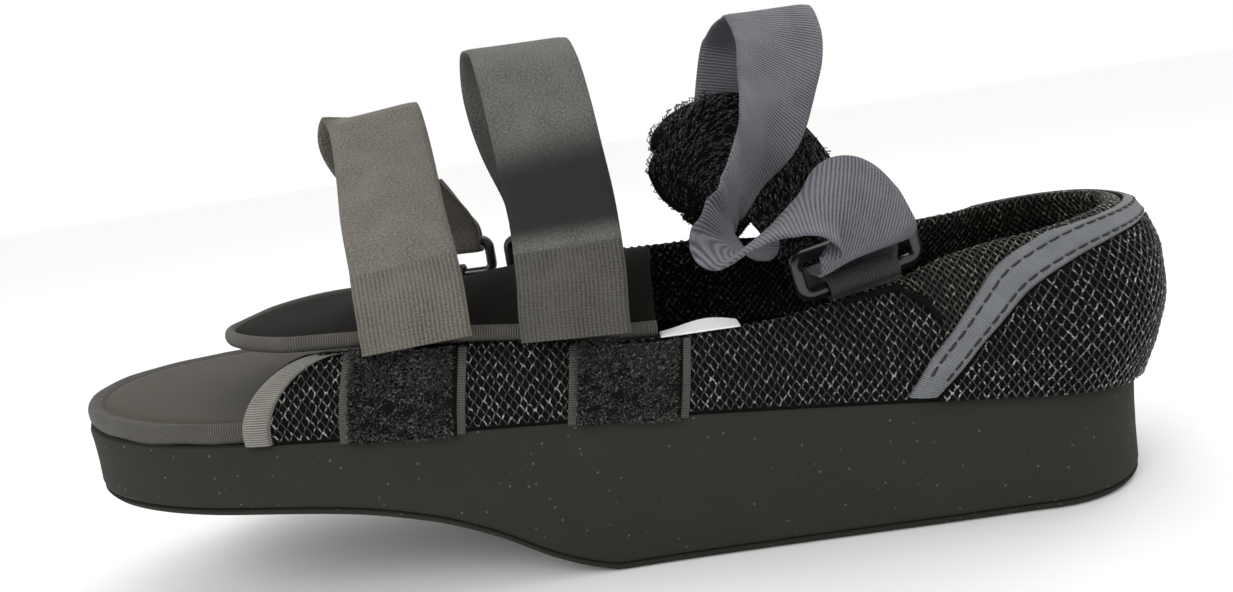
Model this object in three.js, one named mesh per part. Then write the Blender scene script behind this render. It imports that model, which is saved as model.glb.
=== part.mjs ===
// Post operative shoe: an open-toed forefoot off-loading shoe with a foam wedge sole.
// Frame in millimetres: +X to the toe, +Y to the shoe's left side, +Z up.
// The origin is on the floor, at the middle of the flat tread under heel and arch.
import * as THREE from "three";
import { mergeVertices } from "three/addons/utils/BufferGeometryUtils.js";

// Driving sizes of the sole
const shoeLength = 293;
const ballWidth = 99;
const heelWidth = 74;
const heelRound = 34;
const toeRound = 56;
const treadStart = 8;
const treadLength = 138;
const bedHeel = 27.5;
const bedRise = 27;
const forefootLift = 34;
const outsoleSheet = 2;
const insoleThickness = 4.5;

// Driving sizes of the upper
const upperWall = 2.6;
const collarPad = 3.6;
const collarHeight = 46.5;
const quarterHeight = 21;
const heelBulge = 7;
const sideLean = 5.5;
const quarterFront = 231;
const quarterCorner = 21;
const counterSheet = 1.5;

// Driving sizes of trims, straps and rings
const clearance = 0.3;
const panelGap = 0.6;
const tapeWidth = 6.5;
const tapeThickness = 1.6;
const pileThickness = 1.4;
const patchWidth = 30;
const patchLean = 3.5;
const frontPatch = 178;
const middlePatch = 123;
const webWidth = 27;
const webThickness = 1.3;
const hookThickness = 1.5;
const bandWidth = 31;
const bandThickness = 2;
const flapThickness = 3;
const flapStart = 128;
const flapEnd = 246;
const flapNose = 30;
const rimWidth = 2.4;
const rimHeight = 4;
const toeTapeWidth = 2.4;
const ringWire = 3.4;
const ringGap = 7;
const tabThickness = 1.1;
const tabReach = 14;
const tagStart = 107;
const tagLength = 20;
const tagReach = 8;
const tagThickness = 0.6;

const heelX = -(treadStart + treadLength / 2);
const toX = (fromHeel) => heelX + fromHeel;

// Half width of the sole's plan: 0 is the heel's width and 1 the ball's
const planRows = [
  { at: 0, ball: 0 },
  { at: 0.12, ball: 0 },
  { at: 0.21, ball: 0.07 },
  { at: 0.31, ball: 0.13 },
  { at: 0.45, ball: 0.26 },
  { at: 0.59, ball: 0.58 },
  { at: 0.71, ball: 0.92 },
  { at: 0.79, ball: 1 },
  { at: 1, ball: 1 },
];

// Lift of the sole's underside, as a share of the forefoot's lift, between the tread's end and the toe
const liftRows = [
  { at: 0, lift: 0 },
  { at: 0.05, lift: 0.07 },
  { at: 0.105, lift: 0.18 },
  { at: 0.2, lift: 0.43 },
  { at: 0.3, lift: 0.63 },
  { at: 0.42, lift: 0.78 },
  { at: 0.57, lift: 0.88 },
  { at: 0.8, lift: 0.98 },
  { at: 1, lift: 1.03 },
];

// Height of the upper's top edge over the footbed, from heel to toe:
// shares of the collar's height and of the quarter's height, on the left and on the right side
const topRows = [
  { at: 0, collar: 1, left: 0, right: 0 },
  { at: 0.045, collar: 0.94, left: 0, right: 0 },
  { at: 0.1, collar: 0.86, left: 0, right: 0.03 },
  { at: 0.155, collar: 0.78, left: 0, right: 0.1 },
  { at: 0.21, collar: 0.66, left: 0, right: 0.26 },
  { at: 0.27, collar: 0.42, left: 0.31, right: 0.82 },
  { at: 0.33, collar: 0.12, left: 0.76, right: 1.42 },
  { at: 0.38, collar: 0.02, left: 0.9, right: 1.66 },
  { at: 0.46, collar: 0, left: 0.87, right: 1.62 },
  { at: 0.55, collar: 0, left: 0.95, right: 1.4 },
  { at: 0.65, collar: 0, left: 1, right: 1.1 },
  { at: 0.8, collar: 0, left: 0.96, right: 0.98 },
  { at: 1, collar: 0, left: 0.96, right: 0.96 },
];

// How far the wall stands out, by share of its height: round the heel and along the sides
const wallRows = [
  { at: 0, heel: 0, side: 0, pad: 0 },
  { at: 0.25, heel: 0.6, side: 0.14, pad: 0 },
  { at: 0.5, heel: 0.97, side: 0, pad: 0.1 },
  { at: 0.7, heel: 0.95, side: -0.35, pad: 0.75 },
  { at: 0.86, heel: 0.66, side: -0.7, pad: 1 },
  { at: 1, heel: 0.12, side: -1, pad: 0.35 },
];

// The tape on the counter's edge, from its foot to the back of the heel: distance from the heel's end
// and height over the footbed of its lower and upper edges, as shares of the collar's height
const counterRows = [
  { lowAt: 1.32, low: 0.03, highAt: 1.48, high: 0.035 },
  { lowAt: 1.2, low: 0.16, highAt: 1.345, high: 0.235 },
  { lowAt: 1.065, low: 0.31, highAt: 1.205, high: 0.385 },
  { lowAt: 0.92, low: 0.45, highAt: 1.05, high: 0.555 },
  { lowAt: 0.79, low: 0.57, highAt: 0.91, high: 0.7 },
  { lowAt: 0.62, low: 0.68, highAt: 0.72, high: 0.815 },
  { lowAt: 0.43, low: 0.77, highAt: 0.5, high: 0.905 },
  { lowAt: 0.22, low: 0.84, highAt: 0.25, high: 0.965 },
  { lowAt: 0.07, low: 0.875, highAt: 0.08, high: 0.99 },
  { lowAt: 0, low: 0.885, highAt: 0, high: 0.995 },
];

// The flap from its rear edge to its nose: reach to the left and right and height of its crest,
// as shares of the ball's width and of the quarter's height
const flapRows = [
  { at: 0, left: 0.33, right: 0.27, crest: 1.72 },
  { at: 0.3, left: 0.37, right: 0.3, crest: 1.56 },
  { at: 0.55, left: 0.4, right: 0.33, crest: 1.34 },
  { at: 0.8, left: 0.41, right: 0.36, crest: 1.15 },
  { at: 1, left: 0.4, right: 0.36, crest: 1.03 },
];

// Value of a table's column at a place between its rows, on a smooth curve that never overshoots
function along(rows, column, at) {
  const last = rows.length - 1;
  if (at <= rows[0].at) return rows[0][column];
  if (at >= rows[last].at) return rows[last][column];
  const k = rows.findIndex((row) => row.at > at) - 1;
  const span = (i) => rows[i + 1].at - rows[i].at;
  const slope = (i) => (rows[i + 1][column] - rows[i][column]) / span(i);
  const tangent = (i) => {
    if (i === 0 || i === last) return slope(Math.min(i, last - 1));
    const product = slope(i - 1) * slope(i);
    return product > 0 ? (2 * product) / (slope(i - 1) + slope(i)) : 0;
  };
  const t = (at - rows[k].at) / span(k);
  const blend = t * t * (3 - 2 * t);
  const eased = rows[k][column] * (1 - blend) + rows[k + 1][column] * blend;
  const leaving = tangent(k) * t * (1 - t) * (1 - t);
  const arriving = tangent(k + 1) * t * t * (1 - t);
  return eased + (leaving - arriving) * span(k);
}

const shareOf = (x) => (x - heelX) / shoeLength;
const smooth = (low, high, value) => THREE.MathUtils.smoothstep(value, low, high);

// Top of the foam wedge, a straight ramp from heel to toe
const bedZ = (x) => bedHeel + bedRise * shareOf(x);

// Underside of the sole: flat tread, then the wedge's cut-away under the forefoot
function treadZ(x) {
  const start = toX(treadStart + treadLength);
  const end = toX(shoeLength);
  return forefootLift * along(liftRows, "lift", (x - start) / (end - start));
}

function halfWidth(x) {
  const fromHeel = Math.max(x - heelX, 0);
  const fromToe = Math.max(heelX + shoeLength - x, 0);
  const ball = along(planRows, "ball", shareOf(x));
  const round = (distance, radius) =>
    distance < radius ? Math.sqrt(1 - (1 - distance / radius) ** 2) : 1;
  const half = (heelWidth + (ballWidth - heelWidth) * ball) / 2;
  return half * round(fromHeel, heelRound) * round(fromToe, toeRound);
}

// A place on the plan's rim: turn is 0 at the heel's end, +1 at the toe's end by the left side,
// -1 there by the right side, and goes on past the toe up to 2
function rimPoint(turn) {
  const x = heelX + (shoeLength * (1 - Math.cos(Math.PI * turn))) / 2;
  return new THREE.Vector2(x, Math.sign(Math.sin(Math.PI * turn)) * halfWidth(x));
}

function rimNormal(turn) {
  const step = 1e-3;
  const ahead = rimPoint(turn + step);
  const behind = rimPoint(turn - step);
  const tangent = ahead.sub(behind).normalize();
  return new THREE.Vector2(-tangent.y, tangent.x);
}

const turnAt = (x) => Math.acos(THREE.MathUtils.clamp(1 - 2 * shareOf(x), -1, 1)) / Math.PI;

function topHeight(turn) {
  const share = shareOf(rimPoint(turn).x);
  const side = turn > 0 ? "left" : "right";
  return (
    collarHeight * along(topRows, "collar", share) + quarterHeight * along(topRows, side, share)
  );
}

// Where the heel's bulge gives way to the side's lean, and where the collar's padding thins out
const heelBlend = [-12, 66];
const padEnd = [45, 85];

// A point of the upper's wall: level is the share of its height, out the distance from its outer face
function wallPoint(turn, level, out) {
  const rim = rimPoint(turn);
  const normal = rimNormal(turn);
  const height = topHeight(turn);
  const side = smooth(toX(heelBlend[0]), toX(heelBlend[1]), rim.x);
  const lean = sideLean * Math.pow(height / quarterHeight, 1.2) * along(wallRows, "side", level);
  const bulge = heelBulge * along(wallRows, "heel", level);
  const reach = bulge * (1 - side) + lean * side + out;
  const lift = clearance + level * height;
  return new THREE.Vector3(
    rim.x + normal.x * reach,
    rim.y + normal.y * reach,
    bedZ(rim.x) + lift,
  );
}

// Inward distance of the wall's inner face: the wall and the collar's padding
function wallDepth(turn, level) {
  const padded = 1 - smooth(toX(padEnd[0]), toX(padEnd[1]), rimPoint(turn).x);
  return upperWall + collarPad * padded * along(wallRows, "pad", level);
}

const levelOf = (turn, height) => height / topHeight(turn);

// Turns a list of corner points and triangles into one body with its faces out
function bodyFrom(points, triangles) {
  const corners = triangles.flatMap((triangle) => triangle.map((i) => points[i]));
  const volume = triangles.reduce((sum, [a, b, c]) => {
    const cross = new THREE.Vector3().crossVectors(points[b], points[c]);
    return sum + points[a].dot(cross);
  }, 0);
  if (volume < 0) {
    for (let i = 0; i < corners.length; i += 3) {
      [corners[i + 1], corners[i + 2]] = [corners[i + 2], corners[i + 1]];
    }
  }
  const merged = mergeVertices(new THREE.BufferGeometry().setFromPoints(corners), 1e-4);
  const geometry = merged.toNonIndexed();
  geometry.computeVertexNormals();
  return geometry;
}

const quad = (a, b, c, d) => [[a, b, c], [a, c, d]];

// A sheet with two faces: outer and inner are grids of points with the same rows and columns
function sheetBody(outer, inner) {
  const rows = outer.length;
  const columns = outer[0].length;
  const points = [...outer.flat(), ...inner.flat()];
  const out = (i, j) => i * columns + j;
  const back = (i, j) => rows * columns + i * columns + j;
  const triangles = [];
  for (let i = 0; i < rows - 1; i += 1) {
    for (let j = 0; j < columns - 1; j += 1) {
      triangles.push(...quad(out(i, j), out(i + 1, j), out(i + 1, j + 1), out(i, j + 1)));
      triangles.push(...quad(back(i, j), back(i, j + 1), back(i + 1, j + 1), back(i + 1, j)));
    }
    triangles.push(...quad(out(i, 0), back(i, 0), back(i + 1, 0), out(i + 1, 0)));
    const j = columns - 1;
    triangles.push(...quad(out(i, j), out(i + 1, j), back(i + 1, j), back(i, j)));
  }
  for (let j = 0; j < columns - 1; j += 1) {
    triangles.push(...quad(out(0, j), out(0, j + 1), back(0, j + 1), back(0, j)));
    const i = rows - 1;
    triangles.push(...quad(out(i, j), back(i, j), back(i, j + 1), out(i, j + 1)));
  }
  return bodyFrom(points, triangles);
}

// A bar whose section, a ring of points, changes along its way; its two ends are closed
function barBody(sections) {
  const sides = sections[0].length;
  const points = sections.flat();
  const triangles = [];
  for (let i = 0; i < sections.length - 1; i += 1) {
    for (let k = 0; k < sides; k += 1) {
      const next = (k + 1) % sides;
      const here = i * sides;
      const ahead = here + sides;
      triangles.push(...quad(here + k, here + next, ahead + next, ahead + k));
    }
  }
  const end = (sections.length - 1) * sides;
  for (let k = 1; k < sides - 1; k += 1) {
    triangles.push([0, k + 1, k]);
    triangles.push([end, end + k, end + k + 1]);
  }
  return bodyFrom(points, triangles);
}

// A body of plan layers: each layer has an inset from the rim and a height at each x
function layeredBody(layers, stations, insetRim) {
  const rings = layers.map(({ inset, height }) => {
    const left = [];
    const right = [];
    for (let i = 0; i <= stations; i += 1) {
      const turn = i / stations;
      const rim = insetRim(turn, inset);
      left.push(new THREE.Vector3(rim.x, rim.y, height(rim.x)));
      right.push(new THREE.Vector3(rim.x, -rim.y, height(rim.x)));
    }
    return [...left, ...right.slice(1, -1).reverse()];
  });
  const count = rings[0].length;
  const points = rings.flat();
  const triangles = [];
  for (let layer = 0; layer < rings.length - 1; layer += 1) {
    for (let k = 0; k < count; k += 1) {
      const next = (k + 1) % count;
      const low = layer * count;
      const high = low + count;
      triangles.push(...quad(low + k, low + next, high + next, high + k));
    }
  }
  const capAcross = (base, flip) => {
    for (let i = 0; i < stations; i += 1) {
      const across = (k) => base + ((count - k) % count);
      const strip = [base + i, base + i + 1, across(i + 1), across(i)];
      const corners = strip.filter((corner, k) => strip.indexOf(corner) === k);
      for (let k = 1; k < corners.length - 1; k += 1) {
        const triangle = [corners[0], corners[k], corners[k + 1]];
        triangles.push(flip ? triangle.reverse() : triangle);
      }
    }
  };
  capAcross(0, true);
  capAcross((rings.length - 1) * count, false);
  return bodyFrom(points, triangles);
}

// The plan's rim moved inwards by an even distance
function insetPlan(turn, inset) {
  const rim = rimPoint(turn);
  const normal = rimNormal(turn);
  const y = turn === 0 || turn === 1 ? 0 : rim.y - normal.y * inset;
  return new THREE.Vector2(rim.x - normal.x * inset, y);
}

const group = new THREE.Group();

function addPiece(name, geometry, color, roughness) {
  const material = new THREE.MeshStandardMaterial({ color, roughness, metalness: 0 });
  const mesh = new THREE.Mesh(geometry, material);
  mesh.name = name;
  group.add(mesh);
}

const foamColor = 0x33332f;
const meshColor = 0x161616;
const tapeColor = 0x2a2a29;
const webColor = 0x353432;
const pileColor = 0x191817;
const ringColor = 0x0c0c0d;
const boardColor = 0x37342e;
const flapColor = 0x1c1b1a;
const tagColor = 0xe8e8e6;

// Outsole sheet and foam wedge
const planStations = 34;
const edgeRadius = 1.6;

function addSole() {
  const sheetTop = (x) => treadZ(x) + outsoleSheet;
  const outsole = layeredBody(
    [
      { inset: 2.4, height: treadZ },
      { inset: 0.9, height: (x) => treadZ(x) + outsoleSheet * 0.35 },
      { inset: 0.4, height: sheetTop },
    ],
    planStations,
    insetPlan,
  );
  const foamBottom = (x) => sheetTop(x) + clearance;
  const midsole = layeredBody(
    [
      { inset: 0.6, height: foamBottom },
      { inset: 0, height: (x) => foamBottom(x) + edgeRadius },
      { inset: 0.4, height: (x) => (foamBottom(x) + bedZ(x)) / 2 },
      { inset: 0.1, height: (x) => bedZ(x) - edgeRadius },
      { inset: 1, height: bedZ },
    ],
    planStations,
    insetPlan,
  );
  addPiece("outsole", outsole, foamColor, 0.95);
  addPiece("midsole", midsole, foamColor, 0.95);
}

// Footbed board inside the upper and the tape round its open toe
function addInsole() {
  const inset = upperWall + clearance * 2;
  const bottom = (x) => bedZ(x) + clearance;
  const top = (x) => bottom(x) + insoleThickness;
  const insole = layeredBody(
    [
      { inset, height: bottom },
      { inset, height: (x) => top(x) - 0.8 },
      { inset: inset + 0.8, height: top },
    ],
    planStations,
    insetPlan,
  );
  addPiece("insole", insole, boardColor, 0.9);

  const start = turnAt(toX(quarterFront + 1));
  const steps = 40;
  const sections = [];
  for (let i = 0; i <= steps; i += 1) {
    const turn = start + ((2 - 2 * start) * i) / steps;
    const corner = (depth, lift) => {
      const rim = insetPlan(turn, depth);
      return new THREE.Vector3(rim.x, rim.y, bottom(rim.x) + lift);
    };
    const outer = upperWall + clearance - toeTapeWidth;
    const inner = upperWall + clearance;
    sections.push([
      corner(outer + 0.4, 0),
      corner(outer, insoleThickness * 0.3),
      corner(outer, insoleThickness * 0.8),
      corner(outer + 0.7, insoleThickness + 0.4),
      corner(inner, insoleThickness + 0.4),
      corner(inner, 0),
    ]);
  }
  addPiece("toe_binding", barBody(sections), tapeColor, 0.85);
}

// Where the quarter's front edge stands at a level of its height, with a round top corner
const frontAt = (level) => toX(quarterFront - quarterCorner * (1 - Math.sqrt(1 - level * level)));

// A grid of wall points: turns and levels come from two shares, across and up
function wallGrid(columns, rows, placeAt, out) {
  const grid = [];
  for (let i = 0; i <= columns; i += 1) {
    const line = [];
    for (let j = 0; j <= rows; j += 1) {
      const { turn, level } = placeAt(i / columns, j / rows);
      line.push(wallPoint(turn, level, out(turn, level)));
    }
    grid.push(line);
  }
  return grid;
}

// A panel that lies on the wall's outer face, with a gap under it and its own thickness
function wallPanel(columns, rows, placeAt, gap, thickness) {
  const outer = wallGrid(columns, rows, placeAt, () => gap + thickness);
  const inner = wallGrid(columns, rows, placeAt, () => gap);
  return sheetBody(outer, inner);
}

function addUpper() {
  const placeAt = (across, up) => {
    const level = Math.sin((up * Math.PI) / 2) * 0.35 + up * 0.65;
    const swing = 1 - 2 * across;
    return { turn: swing * turnAt(frontAt(level)), level };
  };
  const outer = wallGrid(56, 9, placeAt, () => 0);
  const inner = wallGrid(56, 9, placeAt, (turn, level) => -wallDepth(turn, level));
  addPiece("upper", sheetBody(outer, inner), meshColor, 0.9);
}

// Counter and its tape follow one table of edge points on both sides of the heel
function counterEdge(across) {
  const last = counterRows.length - 1;
  const side = across < 0.5 ? 1 : -1;
  const place = (across < 0.5 ? across : 1 - across) * 2;
  const rows = counterRows.map((row, k) => ({ ...row, at: k / last }));
  const edge = (atColumn, heightColumn) => {
    const fromHeel = along(rows, atColumn, place) * collarHeight;
    const turn = side * turnAt(toX(fromHeel));
    return { turn, height: along(rows, heightColumn, place) * collarHeight };
  };
  return { low: edge("lowAt", "low"), high: edge("highAt", "high") };
}

function addCounter() {
  const sheetPlace = (across, up) => {
    const { low } = counterEdge(across);
    return { turn: low.turn, level: levelOf(low.turn, low.height) * up };
  };
  const counter = wallPanel(44, 7, sheetPlace, panelGap, counterSheet);
  addPiece("heel_counter", counter, meshColor, 0.85);

  const seam = 0.05;
  const tapePlace = (across, up) => {
    const { low, high } = counterEdge(across);
    const share = seam + (1 - seam) * up;
    const turn = low.turn + (high.turn - low.turn) * share;
    const height = low.height + (high.height - low.height) * share;
    return { turn, level: Math.min(levelOf(turn, height), 1) };
  };
  const tape = wallPanel(48, 3, tapePlace, panelGap, counterSheet + 0.5);
  addPiece("counter_binding", tape, tapeColor, 0.75);
}

// Tapes on the quarters' front edges and the loop pile patches on the left quarter, which reach
// from just over the wall's foot to just under its top edge
const patchFoot = 0.02;
const patchHead = 0.98;

function addQuarterTrims() {
  for (const [name, side] of [["quarter_binding_left", 1], ["quarter_binding_right", -1]]) {
    const placeAt = (across, up) => {
      const x = frontAt(up) - (1 - across) * tapeWidth;
      return { turn: side * turnAt(x), level: up };
    };
    addPiece(name, wallPanel(3, 9, placeAt, panelGap, tapeThickness), tapeColor, 0.8);
  }
  const patches = { loop_patch_front: frontPatch, loop_patch_middle: middlePatch };
  for (const [name, rear] of Object.entries(patches)) {
    const placeAt = (across, up) => {
      const x = toX(rear + across * patchWidth - patchLean * up);
      return { turn: turnAt(x), level: patchFoot + (patchHead - patchFoot) * up };
    };
    addPiece(name, wallPanel(4, 7, placeAt, panelGap, pileThickness), pileColor, 1);
  }
}

// The instep flap lies on the left quarter's top edge and inside the right quarter
function flapPlace(lengthShare, acrossShare, lift) {
  const x = toX(flapStart + (flapEnd - flapStart) * lengthShare);
  const toNose = toX(flapEnd) - x;
  const round = toNose < flapNose ? Math.sqrt(Math.max(1 - (1 - toNose / flapNose) ** 2, 0)) : 1;
  const left = ballWidth * along(flapRows, "left", lengthShare) * round;
  const right = ballWidth * along(flapRows, "right", lengthShare) * round;
  const crest = quarterHeight * along(flapRows, "crest", lengthShare);
  const full = ballWidth * along(flapRows, "left", lengthShare);
  const edgeTurn = Math.min(turnAt(x), turnAt(frontAt(0.9)));
  const edge = topHeight(edgeTurn) + clearance * 3 + rimHeight / 2;
  const y = acrossShare > 0 ? acrossShare * left : acrossShare * right;
  const drop = (crest - edge) * Math.pow(Math.abs(y) / full, 2);
  return new THREE.Vector3(x, y, bedZ(x) + crest - drop + lift);
}

function addFlap() {
  const lengthSteps = 16;
  const acrossSteps = 10;
  const nose = 0.985;
  const face = (lift) => {
    const grid = [];
    for (let i = 0; i <= lengthSteps; i += 1) {
      const eased = Math.sin(((i / lengthSteps) * Math.PI) / 2) * 0.5 + (i / lengthSteps) * 0.5;
      const line = [];
      for (let j = 0; j <= acrossSteps; j += 1) {
        line.push(flapPlace(eased * nose, 1 - (2 * j) / acrossSteps, lift));
      }
      grid.push(line);
    }
    return grid;
  };
  const flap = sheetBody(face(flapThickness / 2), face(-flapThickness / 2));
  addPiece("instep_flap", flap, flapColor, 0.9);

  // The rim runs along the left edge, round the nose and back along the right edge
  const edgePoints = [];
  const edgeSteps = 26;
  for (let i = 0; i <= edgeSteps * 2; i += 1) {
    const half = i <= edgeSteps ? i / edgeSteps : (2 * edgeSteps - i) / edgeSteps;
    const side = i <= edgeSteps ? 1 : -1;
    edgePoints.push(flapPlace(Math.sin((half * Math.PI) / 2) * nose, side, 0));
  }
  const sections = edgePoints.map((point, i) => {
    const ahead = edgePoints[Math.min(i + 1, edgePoints.length - 1)];
    const behind = edgePoints[Math.max(i - 1, 0)];
    const way = ahead.clone().sub(behind).setZ(0).normalize();
    const out = new THREE.Vector3(-way.y, way.x, 0);
    const corner = (reach, lift) =>
      point.clone().addScaledVector(out, reach).add(new THREE.Vector3(0, 0, lift));
    return [
      corner(clearance, -rimHeight / 2),
      corner(clearance + rimWidth, -rimHeight / 4),
      corner(clearance + rimWidth, rimHeight / 4),
      corner(clearance, rimHeight / 2),
    ];
  });
  addPiece("flap_binding", barBody(sections), tapeColor, 0.8);
}

// A point on a uniform cubic B-spline, which passes softly near its rows and not through them
function nearSpline(points, t) {
  const last = points.length - 1;
  const at = Math.min(t, 1) * last;
  const k = Math.min(Math.floor(at), last - 1);
  const u = at - k;
  const weights = [
    (1 - u) ** 3,
    3 * u ** 3 - 6 * u ** 2 + 4,
    3 * (1 - u) ** 3 - 6 * (1 - u) ** 2 + 4,
    u ** 3,
  ];
  const sum = new THREE.Vector3();
  weights.forEach((weight, i) => {
    const index = THREE.MathUtils.clamp(k + i - 1, 0, last);
    sum.addScaledVector(points[index], weight / 6);
  });
  return sum;
}

// Frames of a flat band along a hand-made way. A row has the band's middle, measured from the
// heel's end, and the direction of its width. The middles are passed through, the widths eased.
function bandFrames(rows, steps, start, end) {
  const middles = rows.map(({ s, y, z }) => new THREE.Vector3(toX(s), y, z));
  const widths = rows.map(({ a, b, c }) => new THREE.Vector3(a, b, c));
  const way = new THREE.CatmullRomCurve3(middles, false, "catmullrom");
  const frames = [];
  for (let k = 0; k <= steps; k += 1) {
    const t = start + ((end - start) * k) / steps;
    const tangent = way.getTangent(t);
    const across = nearSpline(widths, t);
    across.addScaledVector(tangent, -across.dot(tangent)).normalize();
    const normal = new THREE.Vector3().crossVectors(tangent, across);
    frames.push({ t, middle: way.getPoint(t), across, normal });
  }
  return frames;
}

// A point of a band: side is -1 to 1 across its width, face -1 or 1 for its two faces
function bandPoint({ middle, across, normal }, width, thickness, side, face) {
  return middle
    .clone()
    .addScaledVector(across, (side * width) / 2)
    .addScaledVector(normal, (face * thickness) / 2);
}

function bandBody(rows, width, thickness, steps, start = 0, end = 1) {
  const corners = [[-1, -1], [1, -1], [1, 1], [-1, 1]];
  const sections = bandFrames(rows, steps, start, end).map((frame) =>
    corners.map(([side, face]) => bandPoint(frame, width, thickness, side, face)),
  );
  return barBody(sections);
}

// Rings: rectangular wire loops, upright along the shoe, each beside the wall's top edge with
// room for its fabric tab. The outer ones stand at the right quarter's outer face. The rise is
// the top bar's height over the wall's edge and the tab its tab's width, as shares of the
// webbing's width. The level is the wall's height at the ring, as a share. The lean is how far
// the strap runs on to the toe for each millimetre that it rises clear of the bar.
const wireCorner = 0.22;
const wallGap = 0.35;
const tabSeat = clearance + wallGap;
const tabHole = ringWire / 2 + wireCorner + clearance;
const ringStand = tabSeat + tabThickness + tabHole;
const barDrop = ringGap + ringWire;

function ringBeside({ s, side, inside, rise, level, tilt, tab, lean }) {
  const wallY = (from, height) => {
    const turn = side * turnAt(toX(from));
    const out = inside ? -wallDepth(turn, height) - ringStand : ringStand;
    return wallPoint(turn, height, out).y;
  };
  const turn = side * turnAt(toX(s));
  const top = wallPoint(turn, 1, 0).z + rise * webWidth;
  const tabWidth = tab * webWidth;
  const legLevel = level * 0.92;
  const swing = wallY(s + tabWidth / 2, legLevel) - wallY(s - tabWidth / 2, legLevel);
  const turned = Math.atan(swing / tabWidth);
  return { s, side, inside, top, tilt, tabWidth, turn, y: wallY(s, level), turned, lean };
}

const rings = {
  front: ringBeside({
    s: 197, side: -1, inside: false, rise: 0.5, level: 0.94, tilt: 0, tab: 0.44, lean: 0.5,
  }),
  middle: ringBeside({
    s: 159, side: -1, inside: false, rise: 0.315, level: 0.86, tilt: 0, tab: 0.6, lean: 0,
  }),
  ankle: ringBeside({
    s: 75, side: 1, inside: true, rise: 0.485, level: 0.95, tilt: 0.17, tab: 0.7, lean: 0,
  }),
};

// The strap's way down to a ring, round its top bar and back up in a short lap
function wrapRows({ s, side, y, top, turned, lean }) {
  const wrap = ringWire / 2 + clearance * 1.2 + webThickness / 2;
  const width = { a: -Math.cos(turned), b: -Math.sin(turned), c: 0 };
  const row = (inwards, up) => {
    const ahead = lean * Math.max(up - 2 * wrap, 0);
    return { s: s + ahead, y: y - side * inwards, z: top + up, ...width };
  };
  const above = (from, inwards, up) => row(from + inwards * webWidth, up * webWidth);
  return [
    above(wrap, 0.22, 0.555),
    above(wrap, 0.045, 0.2),
    row(wrap, 0),
    row(wrap * 0.8, -wrap * 0.8),
    row(0, -wrap * 1.05),
    row(-wrap * 0.8, -wrap * 0.8),
    row(-wrap, 0),
    above(-wrap, 0.052, 0.167),
    above(wrap, 0.022, 0.37),
    above(wrap, 0.17, 0.667),
  ];
}

// Rows of a strap between its foot, at the left wall's top edge, and its ring on the right:
// along and up are shares of the webbing's width from the foot, across the share of the span
function spanRows(station, ring, rows) {
  const foot = wallPoint(turnAt(toX(station)), 1, 0);
  return rows.map(({ along: ahead, across, up, a, b, c }) => ({
    s: station + ahead * webWidth,
    y: foot.y + (ring.y - foot.y) * across,
    z: foot.z + up * webWidth,
    a,
    b,
    c,
  }));
}

// Front strap: from the left patch up to a sharp top fold, then down and round the right ring's bar
const frontStation = 189;
const frontStrap = [
  ...spanRows(frontStation, rings.front, [
    { along: -0.14, across: -0.08, up: 0.04, a: -1, b: 0, c: -0.06 },
    { along: -0.13, across: -0.065, up: 0.22, a: -1, b: 0, c: -0.07 },
    { along: -0.1, across: -0.02, up: 0.45, a: -1, b: 0, c: -0.08 },
    { along: -0.02, across: 0.07, up: 0.73, a: -1, b: 0, c: -0.11 },
    { along: 0.11, across: 0.2, up: 1.14, a: -1, b: 0, c: -0.12 },
    { along: 0.26, across: 0.38, up: 1.58, a: -1, b: -0.15, c: -0.06 },
    { along: 0.4, across: 0.53, up: 2, a: -1, b: -0.3, c: 0.06 },
    { along: 0.48, across: 0.59, up: 2.2, a: -1, b: -0.35, c: 0.12 },
    { along: 0.58, across: 0.65, up: 2.2, a: -1, b: -0.32, c: 0.12 },
    { along: 0.74, across: 0.71, up: 1.95, a: -1, b: -0.2, c: 0.08 },
    { along: 0.66, across: 0.8, up: 1.55, a: -1, b: -0.08, c: 0.03 },
  ]),
  ...wrapRows(rings.front),
];

// Middle strap: an open round loop
const middleStation = 148;
const middleStrap = [
  ...spanRows(middleStation, rings.middle, [
    { along: -0.02, across: -0.08, up: 0.09, a: -1, b: 0, c: -0.03 },
    { along: -0.03, across: -0.07, up: 0.33, a: -1, b: 0, c: -0.05 },
    { along: -0.05, across: -0.04, up: 0.6, a: -1, b: 0, c: -0.08 },
    { along: -0.05, across: 0, up: 0.9, a: -1, b: 0, c: -0.1 },
    { along: -0.03, across: 0.06, up: 1.29, a: -1, b: 0, c: -0.12 },
    { along: 0.02, across: 0.12, up: 1.73, a: -1, b: 0, c: -0.12 },
    { along: 0.07, across: 0.18, up: 2.16, a: -1, b: 0, c: -0.1 },
    { along: 0.15, across: 0.28, up: 2.59, a: -1, b: 0, c: -0.06 },
    { along: 0.27, across: 0.44, up: 2.85, a: -1, b: -0.02, c: -0.02 },
    { along: 0.45, across: 0.61, up: 2.81, a: -1, b: -0.04, c: 0.02 },
    { along: 0.56, across: 0.73, up: 2.42, a: -1, b: -0.04, c: 0.04 },
    { along: 0.52, across: 0.8, up: 1.88, a: -1, b: -0.02, c: 0 },
  ]),
  ...wrapRows(rings.middle),
];

// Rows of a band that is held at one place only: along, across and up are shares of its width,
// from the ankle ring's station, the shoe's middle and the ring's top bar. Hold is the share of
// the holding place's own distance from the middle that a row follows.
function heldRows(holdY, width, rows) {
  return rows.map(({ along: ahead, across, up, hold, a, b, c }) => ({
    s: rings.ankle.s + ahead * width,
    y: hold * holdY + across * width,
    z: rings.ankle.top + up * width,
    a,
    b,
    c,
  }));
}

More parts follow.
